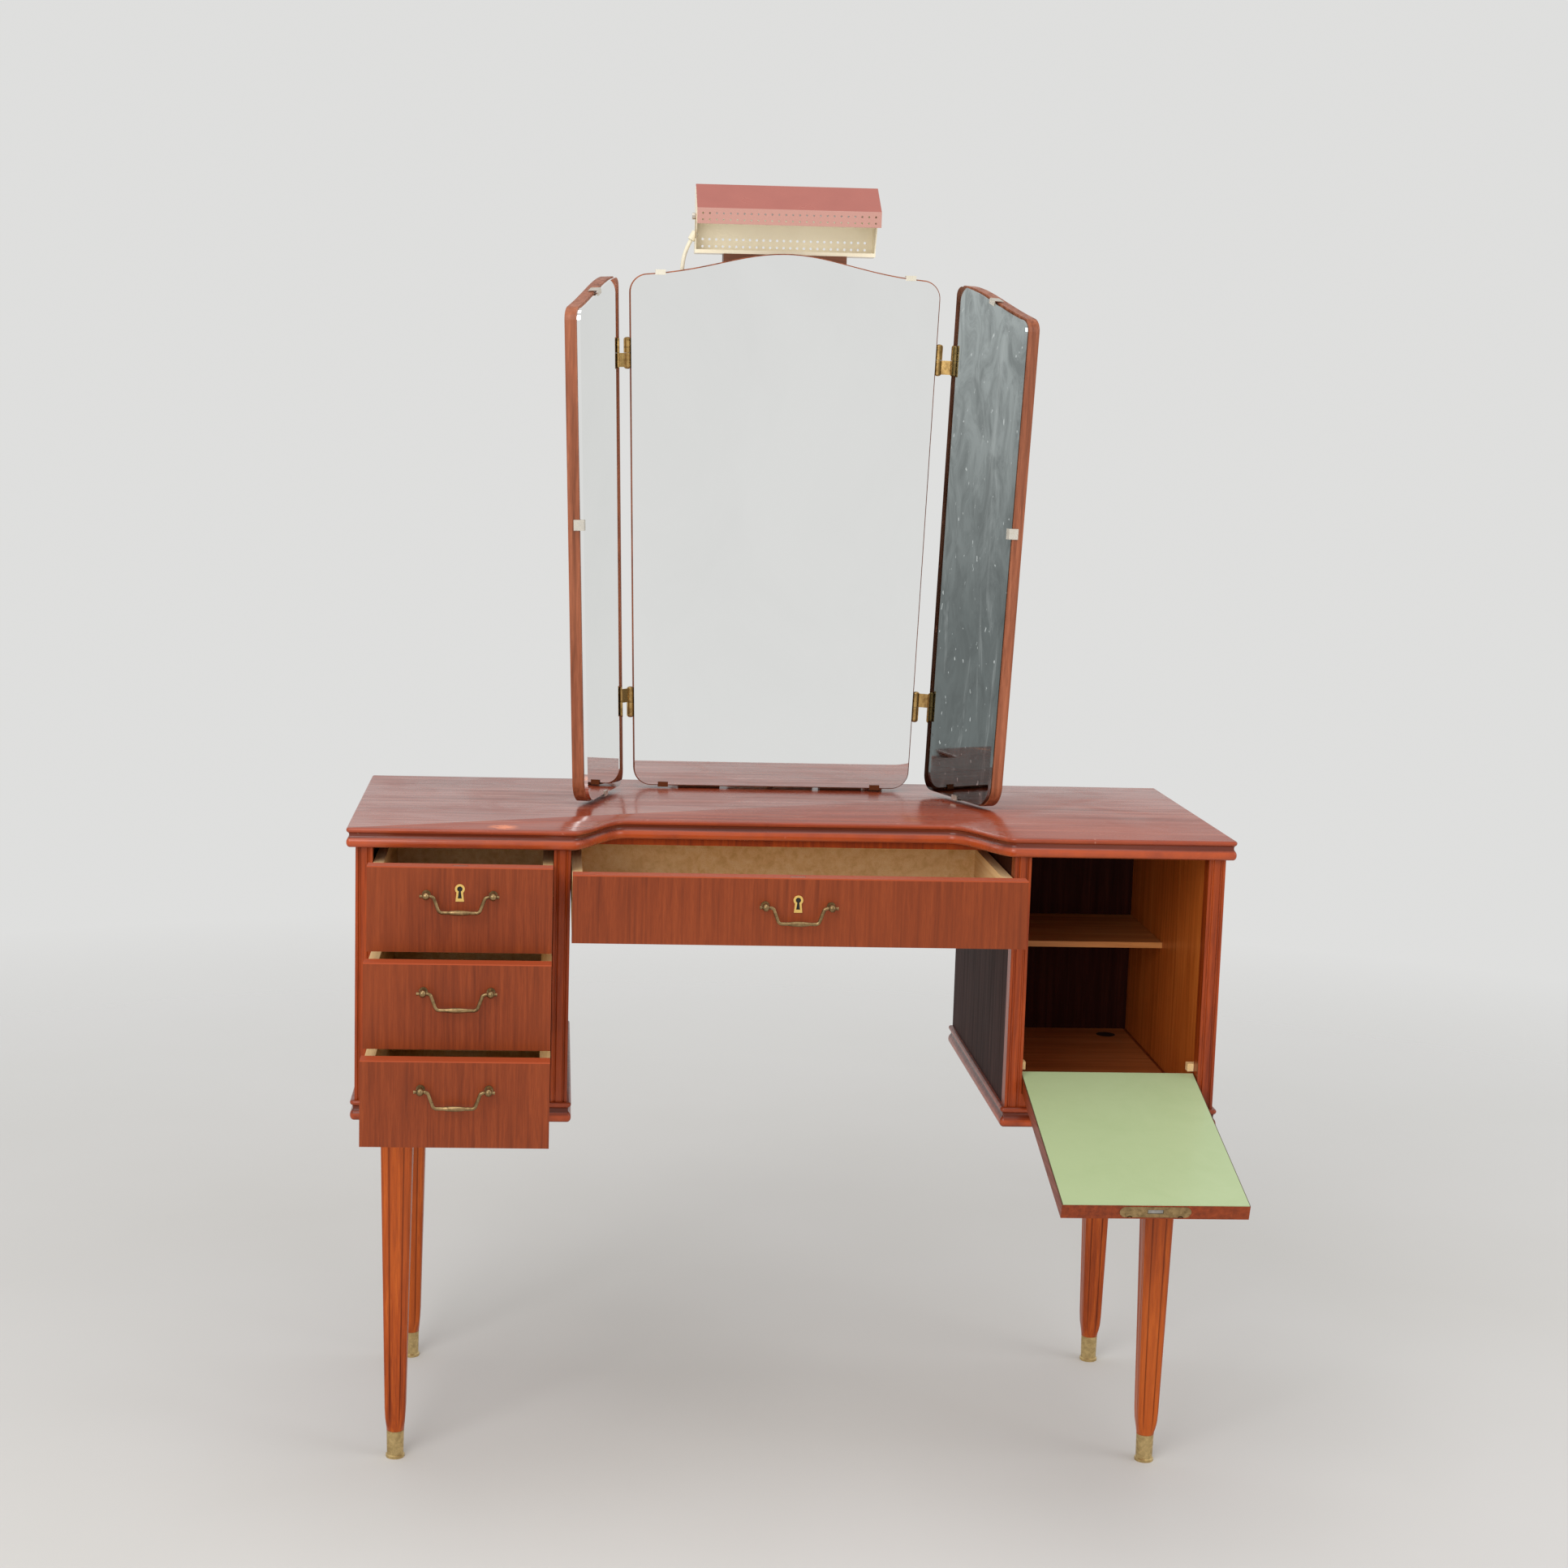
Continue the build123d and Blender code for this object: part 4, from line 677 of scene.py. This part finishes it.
# ---- repeated small parts
class DomedHeads:
    """Geometry-node tree that sets a domed screw head or finial on each point of a mesh."""

    def __init__(self) -> None:
        """Build the node tree once."""
        tree = bpy.data.node_groups.new("domed_heads", "GeometryNodeTree")
        face = tree.interface
        inputs = (("Geometry", "Geometry"), ("Head radius", "Float"), ("Head height", "Float"),
                  ("Finish", "Material"))
        keys = [face.new_socket(name, in_out="INPUT", socket_type=f"NodeSocket{kind}").identifier
                for name, kind in inputs]
        _, self.radius, self.height, self.finish = keys
        face.new_socket("Geometry", in_out="OUTPUT", socket_type="NodeSocketGeometry")
        new = tree.nodes.new
        start, end = new("NodeGroupInput"), new("NodeGroupOutput")
        dome = new("GeometryNodeMeshUVSphere")
        dome.inputs["Segments"].default_value = 20
        dome.inputs["Rings"].default_value = 10
        dome.inputs["Radius"].default_value = 1.0
        size = new("ShaderNodeCombineXYZ")
        aim = new("FunctionNodeAlignRotationToVector")
        aim.axis = "Z"
        named = new("GeometryNodeInputNamedAttribute")
        named.data_type = "FLOAT_VECTOR"
        named.inputs["Name"].default_value = "aim"
        points = new("GeometryNodeMeshToPoints")
        place = new("GeometryNodeInstanceOnPoints")
        real = new("GeometryNodeRealizeInstances")
        coat = new("GeometryNodeSetMaterial")
        for source, output, target, socket in (
                (start, "Head radius", size, 0), (start, "Head radius", size, 1),
                (start, "Head height", size, 2), (named, "Attribute", aim, "Vector"),
                (start, "Geometry", points, "Mesh"), (points, "Points", place, "Points"),
                (dome, "Mesh", place, "Instance"), (aim, "Rotation", place, "Rotation"),
                (size, "Vector", place, "Scale"), (place, "Instances", real, "Geometry"),
                (real, "Geometry", coat, "Geometry"), (start, "Finish", coat, "Material"),
                (coat, "Geometry", end, "Geometry")):
            tree.links.new(source.outputs[output], target.inputs[socket])
        self.tree = tree

    def set_out(self, name: str, places: Sequence[tuple[Vector, Vector]], radius: float, height: float,
                body: str, finish: str) -> Item:
        """Make one piece with a head at each place.

        Args:
            name: the piece's name.
            places: pairs of a head's centre and the way that it faces.
            radius: a head's radius in metres.
            height: how far its dome stands up.
            body: the body that it rides on.
            finish: its finish.
        Returns:
            The new piece.
        """
        mesh = bpy.data.meshes.new(name)
        mesh.from_pydata([tuple(point) for point, _ in places], [], [])
        aim = mesh.attributes.new("aim", "FLOAT_VECTOR", "POINT")
        for index, (_, way) in enumerate(places):
            aim.data[index].vector = way
        item = linked(name, mesh)
        modifier = item.modifiers.new("heads", "NODES")
        modifier.node_group = self.tree
        modifier[self.radius] = radius
        modifier[self.height] = height
        modifier[self.finish] = finish_of(finish)
        bake(item)
        item.data.shade_smooth()
        return settle(item, body, finish)


# ---- the table
@dataclass
class Worktop:
    """The table's top with its curved front and moulded edge, in millimetres."""
    half: float = 500.0
    corner: float = 4.0
    recess: float = 83.0            # how far the middle of its front stands back
    start_x: float = 250.0          # where the front's curves start and end
    end_x: float = 184.0
    bolt_places: Sequence[Pair] = ((-370.0, 20.0), (370.0, 18.75))

    def outline(self) -> list[Pair]:
        """Return the greatest outline in metres, anticlockwise from the front left."""
        points = [(-self.half, (BACK - FRONT) / MM)] + front_corner(self.half, 0.0, self.corner)
        points += [(-self.start_x - 30, 0.0), (-self.start_x, 0.0)]
        curve = ((-self.start_x, 0.0), (-self.start_x + 24, 0.0), (-self.end_x - 28, self.recess),
                 (-self.end_x, self.recess))
        points += bezier(curve, 18)
        points += [(-self.end_x + 20, self.recess)]
        return [(x * MM, FRONT + y * MM) for x, y in with_mirror_image(points)]

    def make(self) -> None:
        """Build the top, cut its two mortises and place it."""
        tool = bmesh.new()
        moulded_slab(tool, self.outline(), UNDER_TOP, TOP_Z)
        item = piece_of("worktop", tool)
        for x, y in self.bolt_places:
            cut_box(item, at(x - 9, y - 3, 730), at(x + 9, y + 3, 743))
        item.data.set_sharp_from_angle(angle=radians(35))
        settle(item, "table", "top", ["table_top"])


@dataclass
class BaseMouldings:
    """The moulded boards on which the two pedestals stand, in millimetres."""
    centre: float = 370.0
    half: float = 125.0
    front: float = 5.0
    depth: float = 392.0
    corner: float = 5.0
    recess: Pair = (441.0, 353.0)
    floor: tuple[Point, Point] = ((270.0, 29.5, 443.0), (470.0, 385.0, 443.25))

    def outline(self, centre: float) -> list[Pair]:
        """Return one board's outline in metres, anticlockwise."""
        points = with_mirror_image([(-self.half, self.depth)]
                                   + front_corner(self.half, self.front, self.corner))
        return [((centre + x) * MM, FRONT + y * MM) for x, y in points]

    def make(self) -> None:
        """Build both boards as one piece, and a dark disc as painted shade over the round recess in the
        cabinet's floor.
        """
        low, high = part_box("base_boards")
        tool = bmesh.new()
        for centre in (-self.centre, self.centre):
            moulded_slab(tool, self.outline(centre), low.z, high.z)
        settle(piece_of("base_mouldings", tool), "table", "moulding", ["base_boards"])
        # A thin dark disc over the recess: painted shade in the hole.
        rings = []
        for radius, height in ((12.0, 0.0), (12.0, 0.3), (11.6, 0.4)):
            middle = at(*self.recess, high.z / MM + height)
            rings.append([middle + Vector((cos(turn) * radius, sin(turn) * radius, 0)) * MM
                          for turn in (2 * pi * step / 32 for step in range(32))])
        tool = bmesh.new()
        loft(tool, rings)
        settle(piece_of("fixing_recess_shade", tool), "table", "shadow")
        floor = bmesh.new()
        add_box(floor, *self.floor)
        settle(piece_of("cabinet_floor_veneer", floor, smooth=False), "table", "cabinet_floor")


@dataclass
class FlutedLegs:
    """Four tapered legs with two grooves down each face, round at the ferrule."""
    top_half: float = 19.0
    foot_half: float = 11.75
    grooves: Pair = (-0.475, 0.475)
    groove_width: float = 0.085
    groove_depth: float = 0.9
    round_radius: float = 10.2
    foot_z: float = 46.0
    top_z: float = 420.0
    places: Sequence[Pair] = ((-443.8, 54.0), (-443.8, 372.0), (443.8, 54.0), (443.8, 372.0))

    def section(self, half: float, roundness: float) -> tuple[list[Pair], list[float]]:
        """Return the section at a height: a square with grooves, or nearly a circle.

        Args:
            half: half its width in millimetres.
            roundness: 0 for the grooved square, 1 for the circle.
        Returns:
            Points round the leg, and the relief value of each.
        """
        points, tones = [], []
        for side in range(4):
            for step in range(-20, 20):
                part = (step + 0.5) / 20
                edge = max(0.0, abs(part) - 0.78) / 0.22
                sink = 0.16 * half * edge * edge
                near = max(max(0.0, 1 - abs(part - groove) / self.groove_width) for groove in self.grooves)
                sink += self.groove_depth * near * (1 - roundness)
                # A negative relief in each groove, which the wood paints as shade.
                tones.append(-near * (1 - roundness))
                x, y = part * half, half - sink
                angle = pi / 4 * part
                x = x * (1 - roundness) + self.round_radius * sin(angle) * roundness
                y = y * (1 - roundness) + self.round_radius * cos(angle) * roundness
                turn = -pi / 2 * side
                points.append((x * cos(turn) - y * sin(turn), x * sin(turn) + y * cos(turn)))
        return points, tones

    def make(self) -> None:
        """Build all four legs as one piece."""
        stations = ((self.top_z, 0.0), (300.0, 0.0), (160.0, 0.0), (62.0, 0.0), (50.0, 0.12), (42.0, 0.45),
                    (36.0, 0.85), (33.2, 1.0))
        tool = bmesh.new()
        for x, y in self.places:
            rings, tones = [], []
            for z, roundness in stations:
                part = max(0.0, (z - self.foot_z) / (self.top_z - self.foot_z))
                half = self.foot_half + (self.top_half - self.foot_half) * part
                outline, marks = self.section(half, roundness)
                rings.append([at(x + px, y + py, z) for px, py in outline])
                tones.append(marks)
            # a narrower last ring inside the ferrule
            rings.append([at(x + px * 0.75, y + py * 0.75, 32.5) for px, py in outline])
            tones.append(marks)
            loft(tool, rings, relief=lambda ring, number: tones[ring][number])
        settle(piece_of("fluted_legs", tool, angle=28.0), "table", "mahogany", ["legs"])


@dataclass
class CabinetLining:
    """Yellow-brown veneer on the inner side faces of the right pedestal, in millimetres."""
    left: float = 266.0
    right: float = 474.0
    thickness: float = 0.35
    front: float = 29.2
    back: float = 385.8
    low: float = 443.3
    high: float = 733.8

    def make(self) -> None:
        """Build thin linings on both sides; the back board stays dark."""
        tool = bmesh.new()
        for x in (self.left, self.right - self.thickness):
            add_box(tool, (x, self.front, self.low), (x + self.thickness, self.back, self.high))
        settle(piece_of("cabinet_lining", tool, smooth=False), "table", "cabinet")


# ---- mirror and lamp
@dataclass
class MirrorHinges:
    """Domed ends on the barrels of the four double hinges."""
    heads: DomedHeads
    taper: float = 0.0293
    spacing: float = 19.5
    half_length: float = 17.0
    tip_size: Pair = (0.0041, 0.0022)         # radius and height of a dome, in metres
    angles: dict[str, tuple[int, float]] = field(
        default_factory=lambda: {"left": (-1, 43.0), "right": (1, 16.5)})

    def make(self) -> None:
        """Set the domes out, each on the body whose knuckle it ends."""
        centre_points = []
        for name, (side, link_angle) in self.angles.items():
            axis = Vector((side * self.taper, 0, 1)).normalized()
            outwards = Vector((0, side, 0)).cross(axis)
            turn = radians(link_angle)
            reach = outwards * cos(turn) + Vector((0, -1, 0)) * sin(turn)
            link_points, wing_points = [], []
            for height, link_end in ((1289.0, -1), (863.0, 1)):
                half_width = 171.4 + (height - 759.5) * self.taper
                inner = at(side * (half_width + 3), 335.5, height)
                outer = inner + reach * self.spacing * MM
                for origin, panel_points in ((inner, centre_points), (outer, wing_points)):
                    link_points.append((origin + axis * link_end * self.half_length * MM, axis * link_end))
                    panel_points.append((origin - axis * link_end * self.half_length * MM, -axis * link_end))
            for label, points in (("link", link_points), ("wing", wing_points)):
                self.heads.set_out(f"{name}_{label}_hinge_tips", points, *self.tip_size,
                                   f"{name}_{label}", "brass")
        self.heads.set_out("centre_hinge_tips", centre_points, *self.tip_size, "table", "brass")


@dataclass
class LampLead:
    """The lamp's cream lead: down behind the mirror, into a tied hank, and its plug."""
    diameter: float = 0.005
    hank_x: float = 2.0
    hank_y: float = 375.5
    half_width: float = 19.0
    turns: int = 3
    low_z: float = 758.8
    pitch: float = 5.3
    tie_x: float = -4.0             # where the tie starts, from the hank's middle
    tie_width: float = 7.0
    tie_height: float = 10.2        # half its height
    rest_z: float = 756.25          # it lies on the worktop

    def route(self) -> list[Vector]:
        """Return the spline's control points from the lamp to the plug."""
        start = at(-114.5, 363, 1427) + Vector((-0.5, 0, -0.866)) * 0.4 * MM
        fall = [(-122, 362, 1413), (-125, 361, 1391), (-126, 360, 1352), (-129, 362, 1302), (-128, 364, 1246),
                (-132, 363, 1188), (-131, 365, 1128), (-135, 366, 1070), (-134, 364, 1012), (-137, 365, 956),
                (-134, 368, 900), (-136, 371, 850), (-134, 376, 812), (-132, 384, 784), (-123, 391, 765),
                (-103, 394, 759), (-80, 393.5, 758.8), (-57, 394.5, 758.8)]
        points = [start] + [at(*place) for place in fall]
        back, front = self.hank_y + self.half_width, self.hank_y - self.half_width
        runs = (-34, -12, 12, 34)
        for turn in range(self.turns):
            z = self.low_z + self.pitch * turn
            points += [at(self.hank_x + x, back, z) for x in runs]
            bend = ((49, back - 2.5), (53.5, self.hank_y), (49, front + 2.5))
            points += [at(self.hank_x + x, y, z) for x, y in bend]
            for step, x in enumerate(reversed(runs)):
                points.append(at(self.hank_x + x, front, z + self.pitch * step / 3))
            z += self.pitch
            points += [at(self.hank_x - x, y, z) for x, y in reversed(bend)]
        z = self.low_z + self.pitch * self.turns
        points += [at(self.hank_x + x, back, z) for x in runs]
        to_plug = [(60, 392.5, 774), (79, 388, 771.2), (96, 384.6, 769.4), (112.7, 384, 769.2)]
        return points + [at(*place) for place in to_plug]

    def make(self) -> None:
        curve = bpy.data.curves.new("lamp_lead", "CURVE")
        curve.dimensions = "3D"
        curve.bevel_depth = self.diameter / 2
        curve.bevel_resolution = 4
        curve.resolution_u = 8
        spline = curve.splines.new("NURBS")
        points = self.route()
        spline.points.add(len(points) - 1)
        for target, point in zip(spline.points, points):
            target.co = (*point, 1.0)
        spline.order_u = 3
        spline.use_endpoint_u = True
        curve.use_fill_caps = True
        item = linked("lamp_lead", curve)
        settle(item, "table", "cord", ["lamp_cord", "cord_hank"])
        line = curve.copy()
        line.bevel_depth = 0.0
        probe = bpy.data.objects.new("lead_line", line)
        path = bpy.data.meshes.new_from_object(probe)
        bpy.data.objects.remove(probe)
        tuple(points[0])
        self.tie()

    def tie(self) -> None:
        """Wrap a flat tie round the hank's front runs and back runs."""
        tool = bmesh.new()
        half_y = self.half_width + 2.9
        middle_z = self.low_z + self.pitch * self.turns / 2
        outer = []
        for x in (self.tie_x, self.tie_x + self.tie_width):
            ring = []
            for turn in (2 * pi * step / 40 for step in range(40)):
                y = self.hank_y + half_y * max(-1.0, min(1.0, 1.15 * cos(turn)))
                z = middle_z + self.tie_height * max(-1.0, min(1.0, 1.15 * sin(turn)))
                ring.append(at(self.hank_x + x, y, max(z, self.rest_z)))
            outer.append(ring)
        middle = at(self.hank_x, self.hank_y, middle_z)
        inner = [[point + (middle - point).normalized() * 0.4 * MM for point in ring] for ring in outer]
        loft(tool, [inner[0], outer[0], outer[1], inner[1], inner[0]], capped=False)
        settle(piece_of("hank_tie", tool), "table", "cord")


@dataclass
class LampFittings:
    """Small brackets on the lamp's cheeks."""
    half: float = 110.0

    def make(self) -> None:
        """Build a strip on the left cheek and a short one on the right."""
        tool = bmesh.new()
        for side, low in ((-1, 1428.0), (1, 1446.0)):
            add_box(tool, (side * (self.half + 0.05), 341.0, low), (side * (self.half + 0.55), 348.0, 1457.0))
        settle(piece_of("cheek_brackets", tool, smooth=False), "table", "brass")


# ---- room, camera, light
@dataclass
class Studio:
    """Plain floor, soft light and the viewing camera."""
    focal: float = 57.76
    eye: Point = (-272.3, -2760.8, 1225.9)
    yaw: float = 0.044
    pitch: float = 0.149
    roll: float = 0.023
    shift: float = 0.0779

    def camera(self) -> None:
        """Place the camera."""
        forward = Vector((sin(self.yaw) * cos(self.pitch), cos(self.yaw) * cos(self.pitch), -sin(self.pitch)))
        level_right = Vector((cos(self.yaw), -sin(self.yaw), 0))
        level_up = level_right.cross(forward)
        right = level_right * cos(self.roll) + level_up * sin(self.roll)
        up = level_up * cos(self.roll) - level_right * sin(self.roll)
        data = bpy.data.cameras.new("viewing_camera")
        data.lens = self.focal
        data.sensor_width = 36.0
        data.sensor_fit = "AUTO"
        data.shift_x = self.shift
        item = linked("viewing_camera", data)
        matrix = Matrix((right, up, -forward)).transposed().to_4x4()
        matrix.translation = at(*self.eye)
        item.matrix_world = matrix
        bpy.context.scene.camera = item

    def lights(self) -> None:
        """Place soft area lights and a pale surround."""
        for name, place, aim, size, power, mirrored in (
                ("key", (-1.9, -3.2, 2.9), (0, 0, 0.8), 2.2, 62.0, True),
                ("fill", (3.7, -1.5, 2.3), (0, 0, 0.7), 2.2, 30.0, True),
                ("low_front", (-0.9, -3.3, 0.95), (0.1, 0, 0.6), 1.6, 30.0, False),
                ("top", (0.0, -0.6, 3.6), (0, 0, 0.5), 2.6, 26.0, True)):
            data = bpy.data.lights.new(name, "AREA")
            data.size = size
            data.energy = power
            item = linked(name, data)
            item.location = place
            item.rotation_euler = (Vector(aim) - Vector(place)).to_track_quat("-Z", "Y").to_euler()
            item.visible_glossy = mirrored
        world = bpy.data.worlds.new("pale_room")
        world.use_nodes = True
        world.node_tree.nodes["Background"].inputs["Color"].default_value = (0.80, 0.80, 0.79, 1.0)
        world.node_tree.nodes["Background"].inputs["Strength"].default_value = 0.92
        bpy.context.scene.world = world

    def floor(self) -> None:
        """Lay a pale floor that fades into the surround far from the table."""
        sheet = Shader("pale_floor")
        cloud = sheet.noise((1.6, 1.6, 1.6), 3.0, 0.5, 0.2)
        sheet.link(sheet.ramp(cloud, (0.3, paint(204, 202, 199)), (0.7, paint(208, 206, 204))), "Base Color")
        sheet.link(sheet.spot(Vector((0.0, -0.3, 0.0)), 1.3, 2.2), "Alpha")
        sheet.set(Roughness=0.8, Specular_IOR_Level=0.1)
        tool = bmesh.new()
        bmesh.ops.create_circle(tool, cap_ends=True, segments=96, radius=6.0)
        item = piece_of("studio_floor", tool, smooth=False)
        item.data.materials.append(sheet.material)

    def make(self) -> None:
        """Build the whole studio."""
        self.camera()
        self.lights()
        self.floor()
        bpy.context.scene.view_settings.view_transform = "Standard"


NODE_FINISHES: dict[str, Sequence[str]] = {
    "post": ("front_posts", "rails"),
    "flap": ("flap_panel",),
    "side": ("left_side_panels", "right_side_panels", "back_panels"),
    "ferrule": ("leg_ferrules",),
    "birch": ("drawer_runners", "shelf_pins_and_stops"),
    "shelf": ("shelf",),
    "brass": ("flap_hardware", "centre_hinge_leaves", "left_hinge_links", "right_hinge_links",
              "left_wing_hinge_leaves", "right_wing_hinge_leaves"),
    "steel": ("flap_bolt", "top_drawer_bolt", "centre_drawer_bolt"),
    "block": ("mirror_uprights", "lamp_block"),
    "frame": ("centre_mirror_back", "left_wing_back", "right_wing_back"),
    "glass": ("centre_glass", "left_wing_glass"),
    "aged_glass_painted_reflection": ("right_wing_glass",),
    "clip": ("centre_clips",),
    "nickel": ("left_wing_clips", "right_wing_clips", "lamp_pivot_screws"),
    "laminate": ("flap_laminate",),
    "cream": ("lamp_reflector",),
    "pink": ("lamp_shade",),
    "tube": ("lamp_tube",),
    "holder": ("lamp_holders", "mains_plug"),
    "cord": ("cord_gland",),
}


@dataclass
class FlapLock:
    """The brass plate let into the flap's outer edge, with its screws and bolt slot."""
    spacing: float = 27.0
    face_y: float = -228.9
    face_z: float = 390.4

    def make(self) -> None:
        """Dress the plate with two screw rings."""
        holes = tuple((at(370 + side * self.spacing, self.face_y, self.face_z), 0.0034) for side in (-1, 1))
        FINISHES["lock"] = Metal("lock_plate_brass", "brass", paint(176, 148, 104), paint(96, 76, 50),
                                 0.7, 0.32, holes=holes)
        dress("flap_lock_plate", "lock")


@dataclass
class Drawers:
    """The four drawers: veneered fronts with a pale red lipping along their upper edge."""
    lipping: float = 1.3
    eye_drop: float = 5.3           # from a keyhole plate's upper end to the middle of the hole's eye
    eye_radius: float = 3.0
    keyed: dict[str, float] = field(default_factory=lambda: {"top": -370.0, "centre": -3.0})

    def keyhole(self, name: str, centre_x: float) -> None:
        """Set a flat dark sheet inside a drawer's escutcheon: painted shade in its keyhole."""
        low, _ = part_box(f"{name}_drawer_front")
        _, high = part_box(f"{name}_drawer_fittings")
        eye = high.z / MM - self.eye_drop
        outline = []
        for step in range(21):
            turn = radians(-62 + 304 * step / 20)
            outline.append((self.eye_radius * cos(turn), eye + self.eye_radius * sin(turn)))
        outline += [(-2.3, eye - 6.0), (-3.0, eye - 10.6), (3.0, eye - 10.6), (2.3, eye - 6.0)]
        tool = bmesh.new()
        face_y = low.y / MM - FRONT / MM
        loft(tool, [[at(centre_x + x, face_y - rise, z) for x, z in outline] for rise in (-0.02, 0.35)])
        settle(piece_of(f"{name}_keyhole", tool, smooth=False), f"{name}_drawer", "keyhole")

    def make(self) -> None:
        """Dress each front, box, bail and fitting."""
        for name in ("top", "middle", "bottom", "centre"):
            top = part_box(f"{name}_drawer_front")[1].z
            key = f"{name}_front"
            FINISHES[key] = Wood(
                f"{name}_front_veneer", "drawer_wood", paint(100, 40, 14), paint(122, 51, 19),
                paint(138, 62, 26), streaks=230.0, rough=0.46, coat=0.04, lipping_colour=paint(162, 70, 36),
                lipping=(top - self.lipping * MM, top + 1.0))
            dress(f"{name}_drawer_front", key)
            dress(f"{name}_drawer_box", "birch")
            dress(f"{name}_drawer_bail", "handle")
            centre_x = self.keyed.get(name)
            if centre_x is None:
                dress(f"{name}_drawer_fittings", "handle")
                continue
            FINISHES[f"{name}_fitting"] = replace(FINISHES["handle"], name=f"{name}_fitting_brass",
                                                  pale_band=((centre_x - 9) * MM, (centre_x + 9) * MM))
            dress(f"{name}_drawer_fittings", f"{name}_fitting")
            self.keyhole(name, centre_x)


def main() -> None:
    """Build and dress everything."""
    logging.basicConfig(level=logging.INFO, format="%(name)s: %(message)s")
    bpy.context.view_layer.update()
    Studio().make()
    LampLead().make()
    for finish, nodes in NODE_FINISHES.items():
        for node in nodes:
            dress(node, finish)
    Drawers().make()
    FlapLock().make()
    Worktop().make()
    BaseMouldings().make()
    FlutedLegs().make()
    CabinetLining().make()
    heads = DomedHeads()
    MirrorHinges(heads).make()
    LampFittings().make()


if __name__ == "__main__":
    main()
